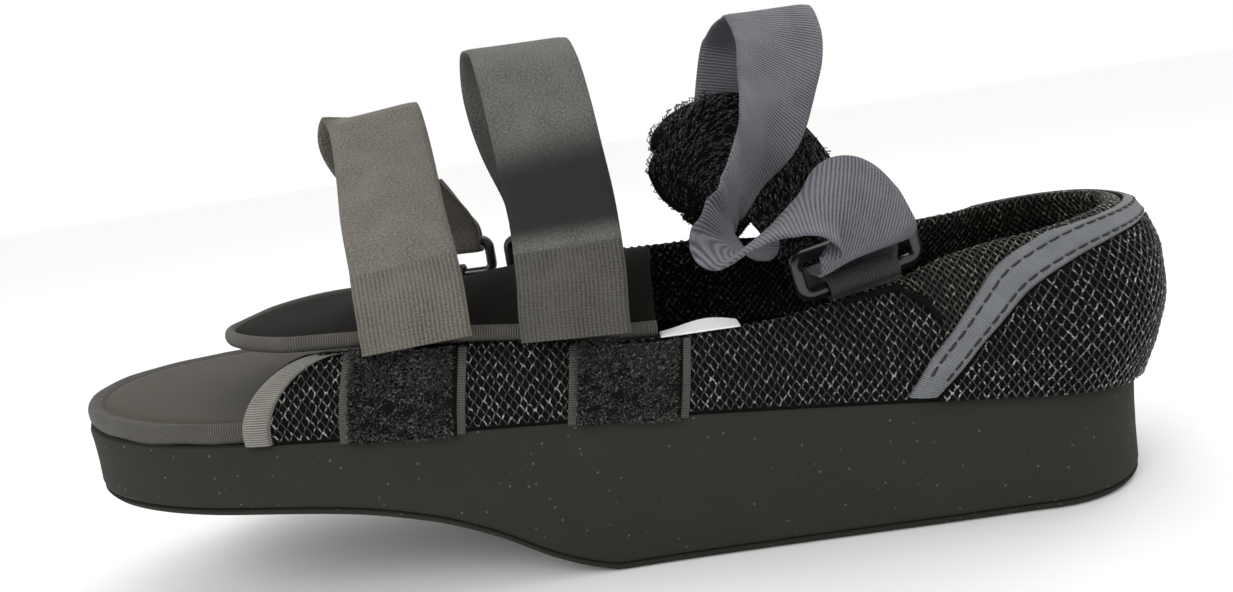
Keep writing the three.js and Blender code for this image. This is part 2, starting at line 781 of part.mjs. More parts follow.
// Ankle strap: through the left ring, curled outwards, turned over and up to its top fold,
// then down behind the pile band
const ankleStrap = heldRows(rings.ankle.y, webWidth, [
  { along: 0, across: -0.43, up: -0.47, hold: 1, a: -1, b: -0.1, c: 0.18 },
  { along: 0, across: -0.28, up: -0.23, hold: 1, a: -1, b: -0.12, c: 0.18 },
  { along: 0, across: 0, up: -0.14, hold: 1, a: -1, b: -0.15, c: 0.18 },
  { along: 0, across: 0.29, up: -0.11, hold: 1, a: -0.98, b: -0.17, c: 0.18 },
  { along: 0, across: 0.54, up: -0.02, hold: 1, a: -0.93, b: -0.27, c: 0.25 },
  { along: 0.07, across: 0.68, up: 0.19, hold: 1, a: -0.84, b: -0.38, c: 0.42 },
  { along: 0.2, across: 0.85, up: 0.38, hold: 0.9, a: -0.7, b: -0.47, c: 0.53 },
  { along: 0.41, across: 0.87, up: 0.42, hold: 0.9, a: -0.52, b: -0.67, c: 0.45 },
  { along: 0.66, across: 0.92, up: 0.35, hold: 0.8, a: -0.37, b: -0.88, c: 0.24 },
  { along: 0.91, across: 0.85, up: 0.23, hold: 0.8, a: -0.34, b: -0.93, c: 0.06 },
  { along: 1.1, across: 0.81, up: 0.11, hold: 0.7, a: -0.33, b: -0.94, c: 0.02 },
  { along: 1.19, across: 0.74, up: 0.17, hold: 0.6, a: -0.33, b: -0.94, c: 0 },
  { along: 1.2, across: 0.7, up: 0.34, hold: 0.5, a: -0.3, b: -0.95, c: 0 },
  { along: 1.14, across: 0.61, up: 0.49, hold: 0.5, a: -0.32, b: -0.95, c: -0.02 },
  { along: 1.06, across: 0.61, up: 0.62, hold: 0.4, a: -0.35, b: -0.93, c: -0.07 },
  { along: 0.93, across: 0.46, up: 0.78, hold: 0.4, a: -0.44, b: -0.89, c: -0.1 },
  { along: 0.73, across: 0.39, up: 1.04, hold: 0.3, a: -0.6, b: -0.8, c: -0.09 },
  { along: 0.57, across: 0.3, up: 1.3, hold: 0.2, a: -0.71, b: -0.69, c: -0.14 },
  { along: 0.46, across: 0.2, up: 1.6, hold: 0.1, a: -0.78, b: -0.6, c: -0.17 },
  { along: 0.38, across: 0.11, up: 1.88, hold: 0, a: -0.87, b: -0.45, c: -0.16 },
  { along: 0.36, across: -0.09, up: 2.12, hold: 0, a: -0.93, b: -0.32, c: -0.1 },
  { along: 0.4, across: -0.31, up: 2.3, hold: 0, a: -0.92, b: -0.36, c: 0.02 },
  { along: 0.51, across: -0.54, up: 2.25, hold: 0, a: -0.93, b: -0.3, c: 0.1 },
  { along: 0.59, across: -0.69, up: 2.04, hold: 0, a: -0.97, b: -0.15, c: 0.1 },
  { along: 0.67, across: -0.71, up: 1.77, hold: 0, a: -1, b: 0, c: 0.06 },
  { along: 0.76, across: -0.7, up: 1.38, hold: 0, a: -1, b: 0, c: 0 },
  { along: 0.83, across: -0.68, up: 0.97, hold: 0, a: -1, b: 0, c: 0 },
]);

// Pile band: from the right collar's inner face up and forwards, folded over and back down
const bandStart = 62;
const bandTurn = -turnAt(toX(bandStart));
const bandHold = wallPoint(bandTurn, 0.7, -wallDepth(bandTurn, 0.7)).y;
const ankleBand = heldRows(bandHold, bandWidth, [
  { along: -0.42, across: 0.15, up: -0.66, hold: 1, a: -0.35, b: 0.33, c: 0.88 },
  { along: -0.24, across: 0.19, up: -0.46, hold: 1, a: -0.42, b: 0.22, c: 0.88 },
  { along: -0.06, across: 0.13, up: -0.27, hold: 0.8, a: -0.55, b: 0.05, c: 0.83 },
  { along: 0.11, across: 0.02, up: -0.01, hold: 0.5, a: -0.68, b: -0.18, c: 0.7 },
  { along: 0.27, across: 0.02, up: 0.3, hold: 0.3, a: -0.72, b: -0.3, c: 0.62 },
  { along: 0.45, across: -0.06, up: 0.57, hold: 0.1, a: -0.68, b: -0.22, c: 0.68 },
  { along: 0.68, across: -0.11, up: 0.8, hold: 0, a: -0.5, b: -0.12, c: 0.85 },
  { along: 0.97, across: -0.13, up: 0.86, hold: 0, a: -0.2, b: -0.1, c: 0.97 },
  { along: 1.31, across: -0.19, up: 0.84, hold: 0, a: -0.05, b: -0.08, c: 1 },
  { along: 1.57, across: -0.34, up: 0.81, hold: 0, a: -0.05, b: -0.04, c: 1 },
  { along: 1.37, across: -0.46, up: 0.75, hold: 0, a: -0.25, b: 0, c: 0.97 },
  { along: 1.1, across: -0.51, up: 0.67, hold: 0, a: -0.5, b: 0, c: 0.87 },
  { along: 0.84, across: -0.52, up: 0.44, hold: 0, a: -0.6, b: 0, c: 0.8 },
  { along: 0.61, across: -0.52, up: 0.2, hold: 0, a: -0.62, b: 0, c: 0.78 },
]);

// How far the band's fold is drawn back across its width, as shares of that width, and how many
// rows from the fold this fades
const foldRow = 9;
const foldReach = [0.6, 2.2];
const foldRows = [
  { at: -1, pull: 0.3 },
  { at: -0.94, pull: 0.27 },
  { at: -0.7, pull: 0.145 },
  { at: -0.45, pull: 0.06 },
  { at: -0.13, pull: 0 },
  { at: 0.05, pull: 0.02 },
  { at: 0.17, pull: 0.065 },
  { at: 0.3, pull: 0.04 },
  { at: 0.5, pull: 0.07 },
  { at: 0.75, pull: 0.19 },
  { at: 0.95, pull: 0.38 },
  { at: 1, pull: 0.46 },
];

const seamRow = 3;
const frontSeam = seamRow / (frontStrap.length - 1);
const middleSeam = seamRow / (middleStrap.length - 1);
const seamGap = 0.0025;

function addStraps() {
  const add = (name, rows, thickness, steps, start, end) => {
    addPiece(name, bandBody(rows, webWidth, thickness, steps, start, end), webColor, 0.8);
  };
  add("hook_tab_front", frontStrap, hookThickness, 10, 0, frontSeam - seamGap);
  add("strap_front", frontStrap, webThickness, 46, frontSeam, 1);
  add("hook_tab_middle", middleStrap, hookThickness, 10, 0, middleSeam - seamGap);
  add("strap_middle", middleStrap, webThickness, 46, middleSeam, 1);
  add("strap_ankle", ankleStrap, webThickness, 80, 0, 1);

  // The pile band's folded end is drawn back at its corners and at the notch between its lobes
  const sides = [-1, -0.7, -0.3, 0.17, 0.5, 0.82, 1];
  const frames = bandFrames(ankleBand, 30, 0, 1);
  const face = (which) =>
    frames.map((frame) => {
      const rowsAway = Math.abs(frame.t * (ankleBand.length - 1) - foldRow);
      const nearFold = 1 - smooth(foldReach[0], foldReach[1], rowsAway);
      return sides.map((side) => {
        const point = bandPoint(frame, bandWidth, bandThickness, side, which);
        point.x -= nearFold * along(foldRows, "pull", side) * bandWidth;
        return point;
      });
    });
  addPiece("ankle_band", sheetBody(face(1), face(-1)), pileColor, 1);
}

const ringInner = webWidth + 1.4;
const ringBevel = 0.9;
const ringCorner = 2;

function roundedRectangle(shape, width, height, corner) {
  const x = width / 2;
  const y = height / 2;
  shape.moveTo(-x + corner, -y);
  shape.lineTo(x - corner, -y);
  shape.quadraticCurveTo(x, -y, x, -y + corner);
  shape.lineTo(x, y - corner);
  shape.quadraticCurveTo(x, y, x - corner, y);
  shape.lineTo(-x + corner, y);
  shape.quadraticCurveTo(-x, y, -x, y - corner);
  shape.lineTo(-x, -y + corner);
  shape.quadraticCurveTo(-x, -y, -x + corner, -y);
  return shape;
}

function ringGeometry() {
  const flat = ringWire - 2 * ringBevel;
  const grow = 2 * ringBevel;
  const outline = roundedRectangle(
    new THREE.Shape(),
    ringInner + grow + 2 * flat,
    ringGap + grow + 2 * flat,
    ringCorner,
  );
  const hole = new THREE.Path();
  outline.holes.push(roundedRectangle(hole, ringInner + grow, ringGap + grow, ringCorner / 2));
  const geometry = new THREE.ExtrudeGeometry(outline, {
    depth: ringWire - 2 * ringBevel,
    bevelThickness: ringBevel,
    bevelSize: ringBevel,
    bevelSegments: 1,
    curveSegments: 3,
  });
  geometry.translate(0, 0, -(ringWire - 2 * ringBevel) / 2);
  geometry.rotateX(Math.PI / 2);
  return geometry;
}

// A fabric tab in the ring's own frame: a drop-shaped fold with a hole for the lower bar, and two
// sewn-together legs that follow the wall down. Outwards is the side away from the wall.
function ringTab({ side, inside, top, turn, y, tabWidth }) {
  const barZ = top - barDrop;
  const outwards = inside ? -side : side;
  const round = tabHole + tabThickness;
  const points = [];
  const arcSteps = 12;
  const arcStart = -50;
  const arcEnd = 222;
  for (let k = 0; k <= arcSteps; k += 1) {
    const angle = THREE.MathUtils.degToRad(arcStart + ((arcEnd - arcStart) * k) / arcSteps);
    points.push(new THREE.Vector2(outwards * round * Math.cos(angle), round * Math.sin(angle)));
  }
  const leg = (share, away) => {
    const level = levelOf(turn, barZ - share * tabReach - wallPoint(turn, 0, 0).z);
    const out = inside ? -wallDepth(turn, level) - away : away;
    const point = wallPoint(turn, level, out);
    return new THREE.Vector2(point.y - y, point.z - barZ);
  };
  const shares = [0.34, 0.55, 0.78, 1];
  points.push(...shares.map((share) => leg(share, tabSeat)));
  points.push(...shares.map((share) => leg(share, tabSeat + 2 * tabThickness)).reverse());
  const outline = new THREE.Shape(points);
  const bore = new THREE.Path();
  bore.absarc(0, 0, tabHole, 0, Math.PI * 2);
  outline.holes.push(bore);
  const geometry = new THREE.ExtrudeGeometry(outline, {
    depth: tabWidth,
    bevelEnabled: false,
    curveSegments: 7,
  });
  geometry.translate(0, -barDrop / 2, -tabWidth / 2);
  geometry.rotateY(Math.PI / 2);
  geometry.rotateX(Math.PI / 2);
  return geometry;
}

function addRings() {
  for (const [name, ring] of Object.entries(rings)) {
    const place = (geometry) => {
      geometry.rotateY(ring.tilt);
      geometry.rotateZ(ring.turned);
      geometry.translate(toX(ring.s), ring.y, ring.top - barDrop / 2);
      return geometry;
    };
    addPiece("ring_" + name, place(ringGeometry()), ringColor, 0.35);
    addPiece("ring_tab_" + name, place(ringTab(ring)), webColor, 0.85);
  }
}

// Blank white tag on the left quarter's top edge
function addTag() {
  const face = (lift) => {
    const grid = [];
    for (let i = 0; i <= 4; i += 1) {
      const turn = turnAt(toX(tagStart + (tagLength * i) / 4));
      const line = [];
      for (let j = 0; j <= 2; j += 1) {
        const point = wallPoint(turn, 1, 1 - (tagReach * j) / 2);
        line.push(point.add(new THREE.Vector3(0, 0, clearance + lift)));
      }
      grid.push(line);
    }
    return grid;
  };
  addPiece("blank_tag", sheetBody(face(tagThickness), face(0)), tagColor, 0.7);
}

addSole();
addInsole();
addUpper();
addCounter();
addQuarterTrims();
addFlap();
addStraps();
addRings();
addTag();

export default group;
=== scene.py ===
# %% [markdown]
# Post operative shoe: an open-toed shoe on a foam wedge, closed by three straps.
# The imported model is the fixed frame. Each cell dresses one piece of it as a shoemaker would:
# foam first, then the footbed, the knitted upper, its tapes and pile, the flap and the straps.
# All shapes are worked out in millimetres and turned to metres when a mesh is made.

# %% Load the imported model
import math

import bmesh
import bpy
import numpy as np
from mathutils import Matrix, Vector


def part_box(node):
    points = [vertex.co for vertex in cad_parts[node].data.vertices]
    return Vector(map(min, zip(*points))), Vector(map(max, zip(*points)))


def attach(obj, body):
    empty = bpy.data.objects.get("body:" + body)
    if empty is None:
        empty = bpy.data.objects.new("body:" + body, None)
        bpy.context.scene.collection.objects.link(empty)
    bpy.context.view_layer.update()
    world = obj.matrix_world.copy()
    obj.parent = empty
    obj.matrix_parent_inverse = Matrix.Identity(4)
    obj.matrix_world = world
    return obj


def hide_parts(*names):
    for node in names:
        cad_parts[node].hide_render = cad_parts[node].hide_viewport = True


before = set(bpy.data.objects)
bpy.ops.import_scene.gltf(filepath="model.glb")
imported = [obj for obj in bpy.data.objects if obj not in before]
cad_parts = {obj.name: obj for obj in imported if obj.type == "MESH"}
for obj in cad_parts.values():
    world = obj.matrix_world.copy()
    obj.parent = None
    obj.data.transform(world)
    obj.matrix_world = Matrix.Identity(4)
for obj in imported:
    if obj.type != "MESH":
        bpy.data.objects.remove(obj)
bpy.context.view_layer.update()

MM = 0.001
sole_low, sole_high = (np.array(corner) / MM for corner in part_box("midsole"))
print("sole from", sole_low.round(1), "to", sole_high.round(1), "mm")

# %% [markdown]
# The camera stands at the photograph's place. It was found by fitting the known lengths of the
# sole and the straps, and it is rolled, because the photograph was turned level by eye while
# the shoe itself stands on its tread.

# %% Camera
CAMERA_PLACE = (45.1, 266.7, 109.8)
CAMERA_YAW, CAMERA_PITCH, CAMERA_ROLL = (math.radians(a) for a in (3.61, 9.64, -8.73))
CAMERA_LENS, CAMERA_SENSOR, CAMERA_NEAR = 27.51, 36, 10 * MM

aim = Vector((
    math.sin(CAMERA_YAW) * math.cos(CAMERA_PITCH),
    -math.cos(CAMERA_YAW) * math.cos(CAMERA_PITCH),
    -math.sin(CAMERA_PITCH),
))
level_right = Vector((-math.cos(CAMERA_YAW), -math.sin(CAMERA_YAW), 0))
level_up = level_right.cross(aim)
view_right = math.cos(CAMERA_ROLL) * level_right + math.sin(CAMERA_ROLL) * level_up
view_up = -math.sin(CAMERA_ROLL) * level_right + math.cos(CAMERA_ROLL) * level_up

camera_data = bpy.data.cameras.new("photo_camera")
camera_data.lens = CAMERA_LENS
camera_data.sensor_width = CAMERA_SENSOR
camera_data.sensor_fit = "HORIZONTAL"
camera_data.clip_start = CAMERA_NEAR
camera = bpy.data.objects.new("photo_camera", camera_data)
axes = Matrix((view_right, view_up, -aim)).transposed().to_4x4()
camera.matrix_world = Matrix.Translation(Vector(CAMERA_PLACE) * MM) @ axes
bpy.context.collection.objects.link(camera)
bpy.context.scene.camera = camera

# %% [markdown]
# Colours are written as the sRGB hex values that a picker shows. Cycles works in linear light,
# so one function turns them. Every material here is one Principled shader with a few textures
# before it, so a small class adds the nodes and gives their outputs. Sizes in it are in mm.

# %% Helpers for materials
def linear(hex_colour):
    """The linear RGBA colour of an sRGB hex value."""
    parts = [int(hex_colour[i:i + 2], 16) / 255 for i in (1, 3, 5)]
    return tuple(c / 12.92 if c <= 0.04045 else ((c + 0.055) / 1.055) ** 2.4 for c in parts) + (1,)


class Look:
    """A material in the making. Its textures lie in the object's space or on its lay."""

    def __init__(self, name, on_lay=False, colour=None, **shader):
        self.material = bpy.data.materials.new(name)
        self.material.use_nodes = True
        self.tree = self.material.node_tree
        self.shader = self.tree.nodes["Principled BSDF"]
        for key, value in shader.items():
            self.shader.inputs[key.replace("_", " ")].default_value = value
        self.millimetre = 1 if on_lay else MM
        if colour:
            self.shader.inputs["Base Color"].default_value = linear(colour)
        elif on_lay:
            self.place = self.node("Attribute", attribute_name="lay").outputs["Vector"]
        else:
            self.place = self.node("TexCoord").outputs["Object"]

    def node(self, kind, sockets=None, **settings):
        """A new node. A socket's value is a number, a colour or another node's output."""
        node = self.tree.nodes.new("ShaderNode" + kind)
        for name, value in settings.items():
            setattr(node, name, value)
        for key, value in (sockets or {}).items():
            if isinstance(value, bpy.types.NodeSocket):
                self.tree.links.new(value, node.inputs[key])
            else:
                node.inputs[key].default_value = value
        return node

    def noise(self, each_mm, detail, place=None, **more):
        """Noise with a number of features in each millimetre."""
        sockets = {"Vector": place or self.place, "Scale": each_mm / self.millimetre, "Detail": detail}
        return self.node("TexNoise", {**sockets, **more}).outputs["Fac"]

    def ribs(self, pitch, distortion=0.0, detail=1.0, direction="X"):
        """Bands a pitch apart along the lay: a Wave texture makes 20 / (2 pi) bands a unit."""
        sockets = {"Vector": self.place, "Scale": math.pi / 10 / pitch,
                   "Distortion": distortion, "Detail Scale": detail}
        return self.node("TexWave", sockets, bands_direction=direction).outputs["Fac"]

    def remap(self, value, low, high, to_low=0.0, to_high=1.0, **settings):
        sockets = {"Value": value, "From Min": low, "From Max": high, "To Min": to_low, "To Max": to_high}
        return self.node("MapRange", sockets, **settings).outputs[0]

    def maths(self, operation, *values):
        return self.node("Math", dict(enumerate(values)), operation=operation).outputs[0]

    def mix(self, share, low, high):
        """A mix of two colours, each a hex value or an output."""
        low, high = (linear(c) if isinstance(c, str) else c for c in (low, high))
        return self.node("Mix", {0: share, 6: low, 7: high}, data_type="RGBA").outputs[2]

    def finish(self, colour, height=None, depth=0.0, strength=0.0):
        """Links the colour and a bump of a depth in mm, and gives the material."""
        self.tree.links.new(colour, self.shader.inputs["Base Color"])
        if height:
            bump = self.node("Bump", {"Height": height, "Distance": depth * MM, "Strength": strength})
            self.tree.links.new(bump.outputs[0], self.shader.inputs["Normal"])
        return self.material


# %% [markdown]
# Fabrics need to know how they lie: where a rib runs along a tape or across it. Each mesh keeps
# that as an attribute called lay, its distance along and across the piece in millimetres. It
# does what a UV map does, with no unwrapping, and the weave keeps its real size.

# %% Helpers for meshes
class Soup:
    """Points, faces and lay of one mesh, gathered from many small bodies."""

    def __init__(self):
        self.points, self.faces, self.lay, self.count = [], [], [], 0

    def add(self, points, faces, lay=None):
        points = np.asarray(points, float).reshape(-1, 3)
        self.points.append(points)
        self.lay.append(points if lay is None else np.asarray(lay, float).reshape(-1, 3))
        self.faces += [np.asarray(block) + self.count for block in faces if len(block)]
        self.count += len(points)

    def build(self, name, material, slot, *stands_for, weld=0.0):
        """Makes the piece, rides it on the body and hides the nodes of the model that it stands for."""
        mesh = bpy.data.meshes.new(name)
        faces = [face for block in self.faces for face in block.tolist()]
        mesh.from_pydata(np.concatenate(self.points) * MM, [], faces)
        lay = mesh.attributes.new("lay", "FLOAT_VECTOR", "POINT")
        lay.data.foreach_set("vector", np.concatenate(self.lay).astype(np.float32).ravel())
        mesh.materials.append(material)
        if weld:
            weld_mesh(mesh, weld)
        mesh.shade_smooth()
        piece = bpy.data.objects.new(name, mesh)
        bpy.context.collection.objects.link(piece)
        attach(piece, "root")
        if stands_for:
            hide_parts(*stands_for)
        print(name, len(mesh.polygons), "faces")
        return piece


def weld_mesh(mesh, distance):
    """Joins points closer than a distance in mm and turns all faces out."""
    work = bmesh.new()
    work.from_mesh(mesh)
    bmesh.ops.remove_doubles(work, verts=work.verts, dist=distance * MM)
    bmesh.ops.dissolve_degenerate(work, edges=work.edges, dist=distance * MM / 2)
    bmesh.ops.recalc_face_normals(work, faces=work.faces)
    work.to_mesh(mesh)
    work.free()


def unit(vectors):
    length = np.linalg.norm(vectors, axis=-1, keepdims=True)
    return vectors / np.maximum(length, 1e-9)


def run_length(points):
    """The distance of each point from the first, along a line of points."""
    return np.concatenate([[0], np.cumsum(np.linalg.norm(np.diff(points, axis=0), axis=1))])


def stack(*parts):
    """Points from their three coordinates, each a number or a grid."""
    return np.stack(np.broadcast_arrays(*parts), -1)


def grid_faces(rows, columns, closed=False):
    """Quads of a grid of points; closed joins its last column to its first."""
    i, j = np.meshgrid(np.arange(rows - 1), np.arange(columns - (not closed)), indexing="ij")
    here, next_j = i * columns + j, i * columns + (j + 1) % columns
    return np.stack([here, next_j, next_j + columns, here + columns], -1).reshape(-1, 4)


def sheet_body(soup, outer, inner, lay=None):
    """Adds a thin body between two grids of points."""
    rows, columns = outer.shape[:2]
    ring = np.concatenate([outer, inner[:, ::-1]], axis=1)
    ring_lay = None if lay is None else np.concatenate([lay, lay[:, ::-1]], axis=1)
    sides = grid_faces(rows, 2 * columns, closed=True)
    strip = np.arange(columns - 1)
    back = 2 * columns - 1 - strip
    start = np.stack([strip, back, back - 1, strip + 1], -1)
    end = start[:, ::-1] + (rows - 1) * 2 * columns
    soup.add(ring, [sides, start, end], ring_lay)


def sheet_piece(name, material, slot, node, outer, inner, lay=None):
    """A piece that is one thin body and stands for one node of the model."""
    soup = Soup()
    sheet_body(soup, outer, inner, lay)
    return soup.build(name, material, slot, node)


def tubes(soup, paths, ups, across, rise, sides=4, lay=None):
    """Adds tubes along equally long paths, with a half width across and a half height up."""
    count, steps = paths.shape[:2]
    way = unit(np.gradient(paths, axis=1))
    side = unit(np.cross(way, ups))
    top = np.cross(side, way)
    angle = 2 * np.pi * np.arange(sides) / sides
    reach = np.cos(angle)[:, None] * across
    lift = np.sin(angle)[:, None] * rise
    ring = paths[:, :, None] + side[:, :, None] * reach + top[:, :, None] * lift
    faces = grid_faces(steps, sides, closed=True)
    block = (np.arange(count) * steps * sides)[:, None, None]
    caps = np.stack([np.arange(sides)[::-1], np.arange(sides) + (steps - 1) * sides])
    ring_lay = None if lay is None else np.repeat(lay[:, :, None], sides, axis=2)
    soup.add(ring, [(faces + block).reshape(-1, 4), (caps + block).reshape(-1, sides)], ring_lay)


# %% [markdown]
# The shoe's form is a few sizes and short tables, as on a last maker's sheet: the plan's half
# width, the lift of the wedge, and the height and lean of the wall. Every fabric panel is then
# laid on the same surface, so seams meet without fitting.

# %% Sizes and the last
HEEL_X, SHOE_LENGTH = sole_low[0], sole_high[0] - sole_low[0]
BALL_WIDTH = sole_high[1] - sole_low[1]
HEEL_WIDTH = 74
HEEL_ROUND, TOE_ROUND = 34, 56
TREAD_END = 146
BED_HEEL, BED_RISE, FOREFOOT_LIFT = 27.5, 27, 34
OUTSOLE_SHEET = 2
INSOLE_THICKNESS = 4.5
UPPER_WALL, COLLAR_PAD = 2.6, 3.6
COLLAR_HEIGHT, QUARTER_HEIGHT = 46.5, 21
HEEL_BULGE, SIDE_LEAN = 7, 5.5
QUARTER_FRONT, QUARTER_CORNER = 231, 21
CLEARANCE = 0.3


def table(columns, rows):
    """The named columns of a short table."""
    return dict(zip(columns.split(), np.array(rows, float).T))


PLAN = table("at ball", [
    (0, 0), (0.12, 0), (0.21, 0.07), (0.31, 0.13), (0.45, 0.26),
    (0.59, 0.58), (0.71, 0.92), (0.79, 1), (1, 1),
])
LIFT = table("at lift", [
    (0, 0), (0.05, 0.07), (0.105, 0.18), (0.2, 0.43), (0.3, 0.63),
    (0.42, 0.78), (0.57, 0.88), (0.8, 0.98), (1, 1.03),
])
TOP = table("at collar left right", [
    (0, 1, 0, 0), (0.045, 0.94, 0, 0), (0.1, 0.86, 0, 0.03), (0.155, 0.78, 0, 0.1),
    (0.21, 0.66, 0, 0.26), (0.27, 0.42, 0.31, 0.82), (0.33, 0.12, 0.76, 1.42),
    (0.38, 0.02, 0.9, 1.66), (0.46, 0, 0.87, 1.62), (0.55, 0, 0.95, 1.4),
    (0.65, 0, 1, 1.1), (0.8, 0, 0.96, 0.98), (1, 0, 0.96, 0.96),
])
WALL = table("at heel side pad", [
    (0, 0, 0, 0), (0.25, 0.6, 0.14, 0), (0.5, 0.97, 0, 0.1),
    (0.7, 0.95, -0.35, 0.75), (0.86, 0.66, -0.7, 1), (1, 0.12, -1, 0.35),
])


def along(rows, column, at):
    """A table's column between its rows, on a smooth curve that never overshoots."""
    x, y = rows["at"], rows[column]
    span, rise = np.diff(x), np.diff(y)
    slope = rise / span
    product, total = slope[:-1] * slope[1:], slope[:-1] + slope[1:]
    inner = np.where(product > 0, 2 * product / np.where(total == 0, 1, total), 0)
    tangent = np.concatenate([slope[:1], inner, slope[-1:]])
    at = np.clip(at, x[0], x[-1])
    k = np.clip(np.searchsorted(x, at, side="right") - 1, 0, len(span) - 1)
    t = (at - x[k]) / span[k]
    blend = t * t * (3 - 2 * t)
    lean = tangent[k] * (1 - t) - tangent[k + 1] * t
    return y[k] * (1 - blend) + y[k + 1] * blend + lean * span[k] * t * (1 - t)


def smooth(low, high, value):
    t = np.clip((value - low) / (high - low), 0, 1)
    return t * t * (3 - 2 * t)


def to_x(from_heel):
    return HEEL_X + from_heel


def share_of(x):
    return (x - HEEL_X) / SHOE_LENGTH


def bed_z(x):
    return BED_HEEL + BED_RISE * share_of(x)


def tread_z(x):
    start, end = to_x(TREAD_END), to_x(SHOE_LENGTH)
    return FOREFOOT_LIFT * along(LIFT, "lift", (x - start) / (end - start))


def rounded(distance, radius):
    """The share of the full width at a distance from an end that is rounded by a circle."""
    return np.sqrt(1 - (1 - np.clip(distance / radius, 0, 1)) ** 2)


def half_width(x):
    half = (HEEL_WIDTH + (BALL_WIDTH - HEEL_WIDTH) * along(PLAN, "ball", share_of(x))) / 2
    return half * rounded(x - HEEL_X, HEEL_ROUND) * rounded(HEEL_X + SHOE_LENGTH - x, TOE_ROUND)


def rim_point(turn):
    """A place on the plan's rim: 0 at the heel's end, 1 at the toe's by the left side."""
    x = HEEL_X + SHOE_LENGTH * (1 - np.cos(np.pi * turn)) / 2
    return np.stack([x, np.sign(np.sin(np.pi * turn)) * half_width(x)], -1)


def rim_normal(turn):
    way = unit(rim_point(turn + 1e-3) - rim_point(turn - 1e-3))
    return np.stack([-way[..., 1], way[..., 0]], -1)


def turn_at(x):
    return np.arccos(np.clip(1 - 2 * share_of(x), -1, 1)) / np.pi


def top_height(turn):
    share = share_of(rim_point(turn)[..., 0])
    side = np.where(turn > 0, along(TOP, "left", share), along(TOP, "right", share))
    return COLLAR_HEIGHT * along(TOP, "collar", share) + QUARTER_HEIGHT * side


def wall_point(turn, level, out):
    """A point of the upper's wall: level is its share of the height, out its distance outwards."""
    turn, level, out = np.broadcast_arrays(turn, level, out)
    rim, normal, height = rim_point(turn), rim_normal(turn), top_height(turn)
    side = smooth(to_x(-12), to_x(66), rim[..., 0])
    lean = SIDE_LEAN * (height / QUARTER_HEIGHT) ** 1.2 * along(WALL, "side", level)
    bulge = HEEL_BULGE * along(WALL, "heel", level)
    reach = bulge * (1 - side) + lean * side + out
    place = rim + normal * reach[..., None]
    return np.concatenate([place, (bed_z(rim[..., 0]) + CLEARANCE + level * height)[..., None]], -1)


def wall_depth(turn, level):
    padded = 1 - smooth(to_x(45), to_x(85), rim_point(turn)[..., 0])
    return UPPER_WALL + COLLAR_PAD * padded * along(WALL, "pad", level)


def front_at(level):
    return to_x(QUARTER_FRONT - QUARTER_CORNER * (1 - np.sqrt(1 - np.clip(level, 0, 1) ** 2)))


TURNS = np.linspace(-1, 1, 4001)
steps_round = np.linalg.norm(np.diff(rim_point(TURNS), axis=0), axis=1)
ARCS = np.concatenate([[0], np.cumsum(steps_round)])
ARCS -= np.interp(0, TURNS, ARCS)


def turn_of(arc):
    """The turn at a distance round the rim from the heel's end, positive on the left."""
    return np.interp(arc, ARCS, TURNS)


def arc_at(from_heel, side):
    return np.interp(side * turn_at(to_x(from_heel)), TURNS, ARCS)


def from_heel_of(arc):
    return rim_point(turn_of(arc))[..., 0] - HEEL_X


print("half the rim is", ARCS[-1].round(1), "mm long")

# %% [markdown]
# Ethylene-vinyl acetate foam is cut from a blown sheet, so its sides show fine closed cells,
# matt and a little dusty. Cells under half a millimetre are too small for geometry. A Noise
# texture at the cell's size drives the bump, and a broad one shifts the colour as handling does.

# %% EVA foam
CELL_SIZE, HANDLING_SIZE = 0.45, 14
FLECKS_EACH_MM = 0.3


def make_foam(name, dark, light, dust):
    look = Look(name, Roughness=0.92, Specular_IOR_Level=0.25)
    broad = look.noise(1 / HANDLING_SIZE, 5)
    cells = look.noise(1 / CELL_SIZE, 2)
    specks = look.node("TexVoronoi", {"Vector": look.place, "Scale": FLECKS_EACH_MM / MM})
    fleck = look.remap(specks.outputs["Distance"], 0.05, 0.11, 0.35, 0)
    grainy = look.mix(cells, look.mix(broad, dark, light), light)
    return look.finish(look.mix(fleck, grainy, dust), cells, depth=0.25, strength=0.6)


eva_foam = make_foam("eva_foam", "#1f1e1b", "#2d2c27", "#8f8b80")
eva_sheet = make_foam("eva_outsole_sheet", "#1c1b18", "#282722", "#8f8b80")

# %% [markdown]
# The sole is two bodies, the thick wedge and the thin sheet under it. Each is a loft of cross
# sections from heel to toe. Sections are closer together at the ends, where the plan turns,
# so a cosine spacing gives round ends with few faces.

# %% Wedge and outsole sheet
def plan_body(name, material, slot, node, layers, stations=150, across=14):
    """A body over the plan: each layer has its inset from the rim and its height."""
    turn = np.linspace(0, 1, stations + 1)
    sides = []
    rim, normal = rim_point(turn), rim_normal(turn)
    for inset, height in layers:
        x = rim[:, 0] - normal[:, 0] * inset
        y = np.maximum(rim[:, 1] - normal[:, 1] * inset, 0)
        y[[0, -1]] = 0
        sides.append(stack(x, y, height(rim[:, 0])))
    side = np.stack(sides, 1)
    mirror = side * (1, -1, 1)
    share = np.linspace(0, 1, across + 1)[1:-1, None]
    top = side[:, -1:] * (1 - share) + mirror[:, -1:] * share
    bottom = mirror[:, :1] * (1 - share) + side[:, :1] * share
    ring = np.concatenate([side, top, mirror[:, ::-1], bottom], axis=1)
    soup = Soup()
    soup.add(ring, [grid_faces(len(turn), ring.shape[1], closed=True)])
    return soup.build(name, material, slot, node, weld=0.02)


def foam_bottom(x):
    return tread_z(x) + OUTSOLE_SHEET + CLEARANCE


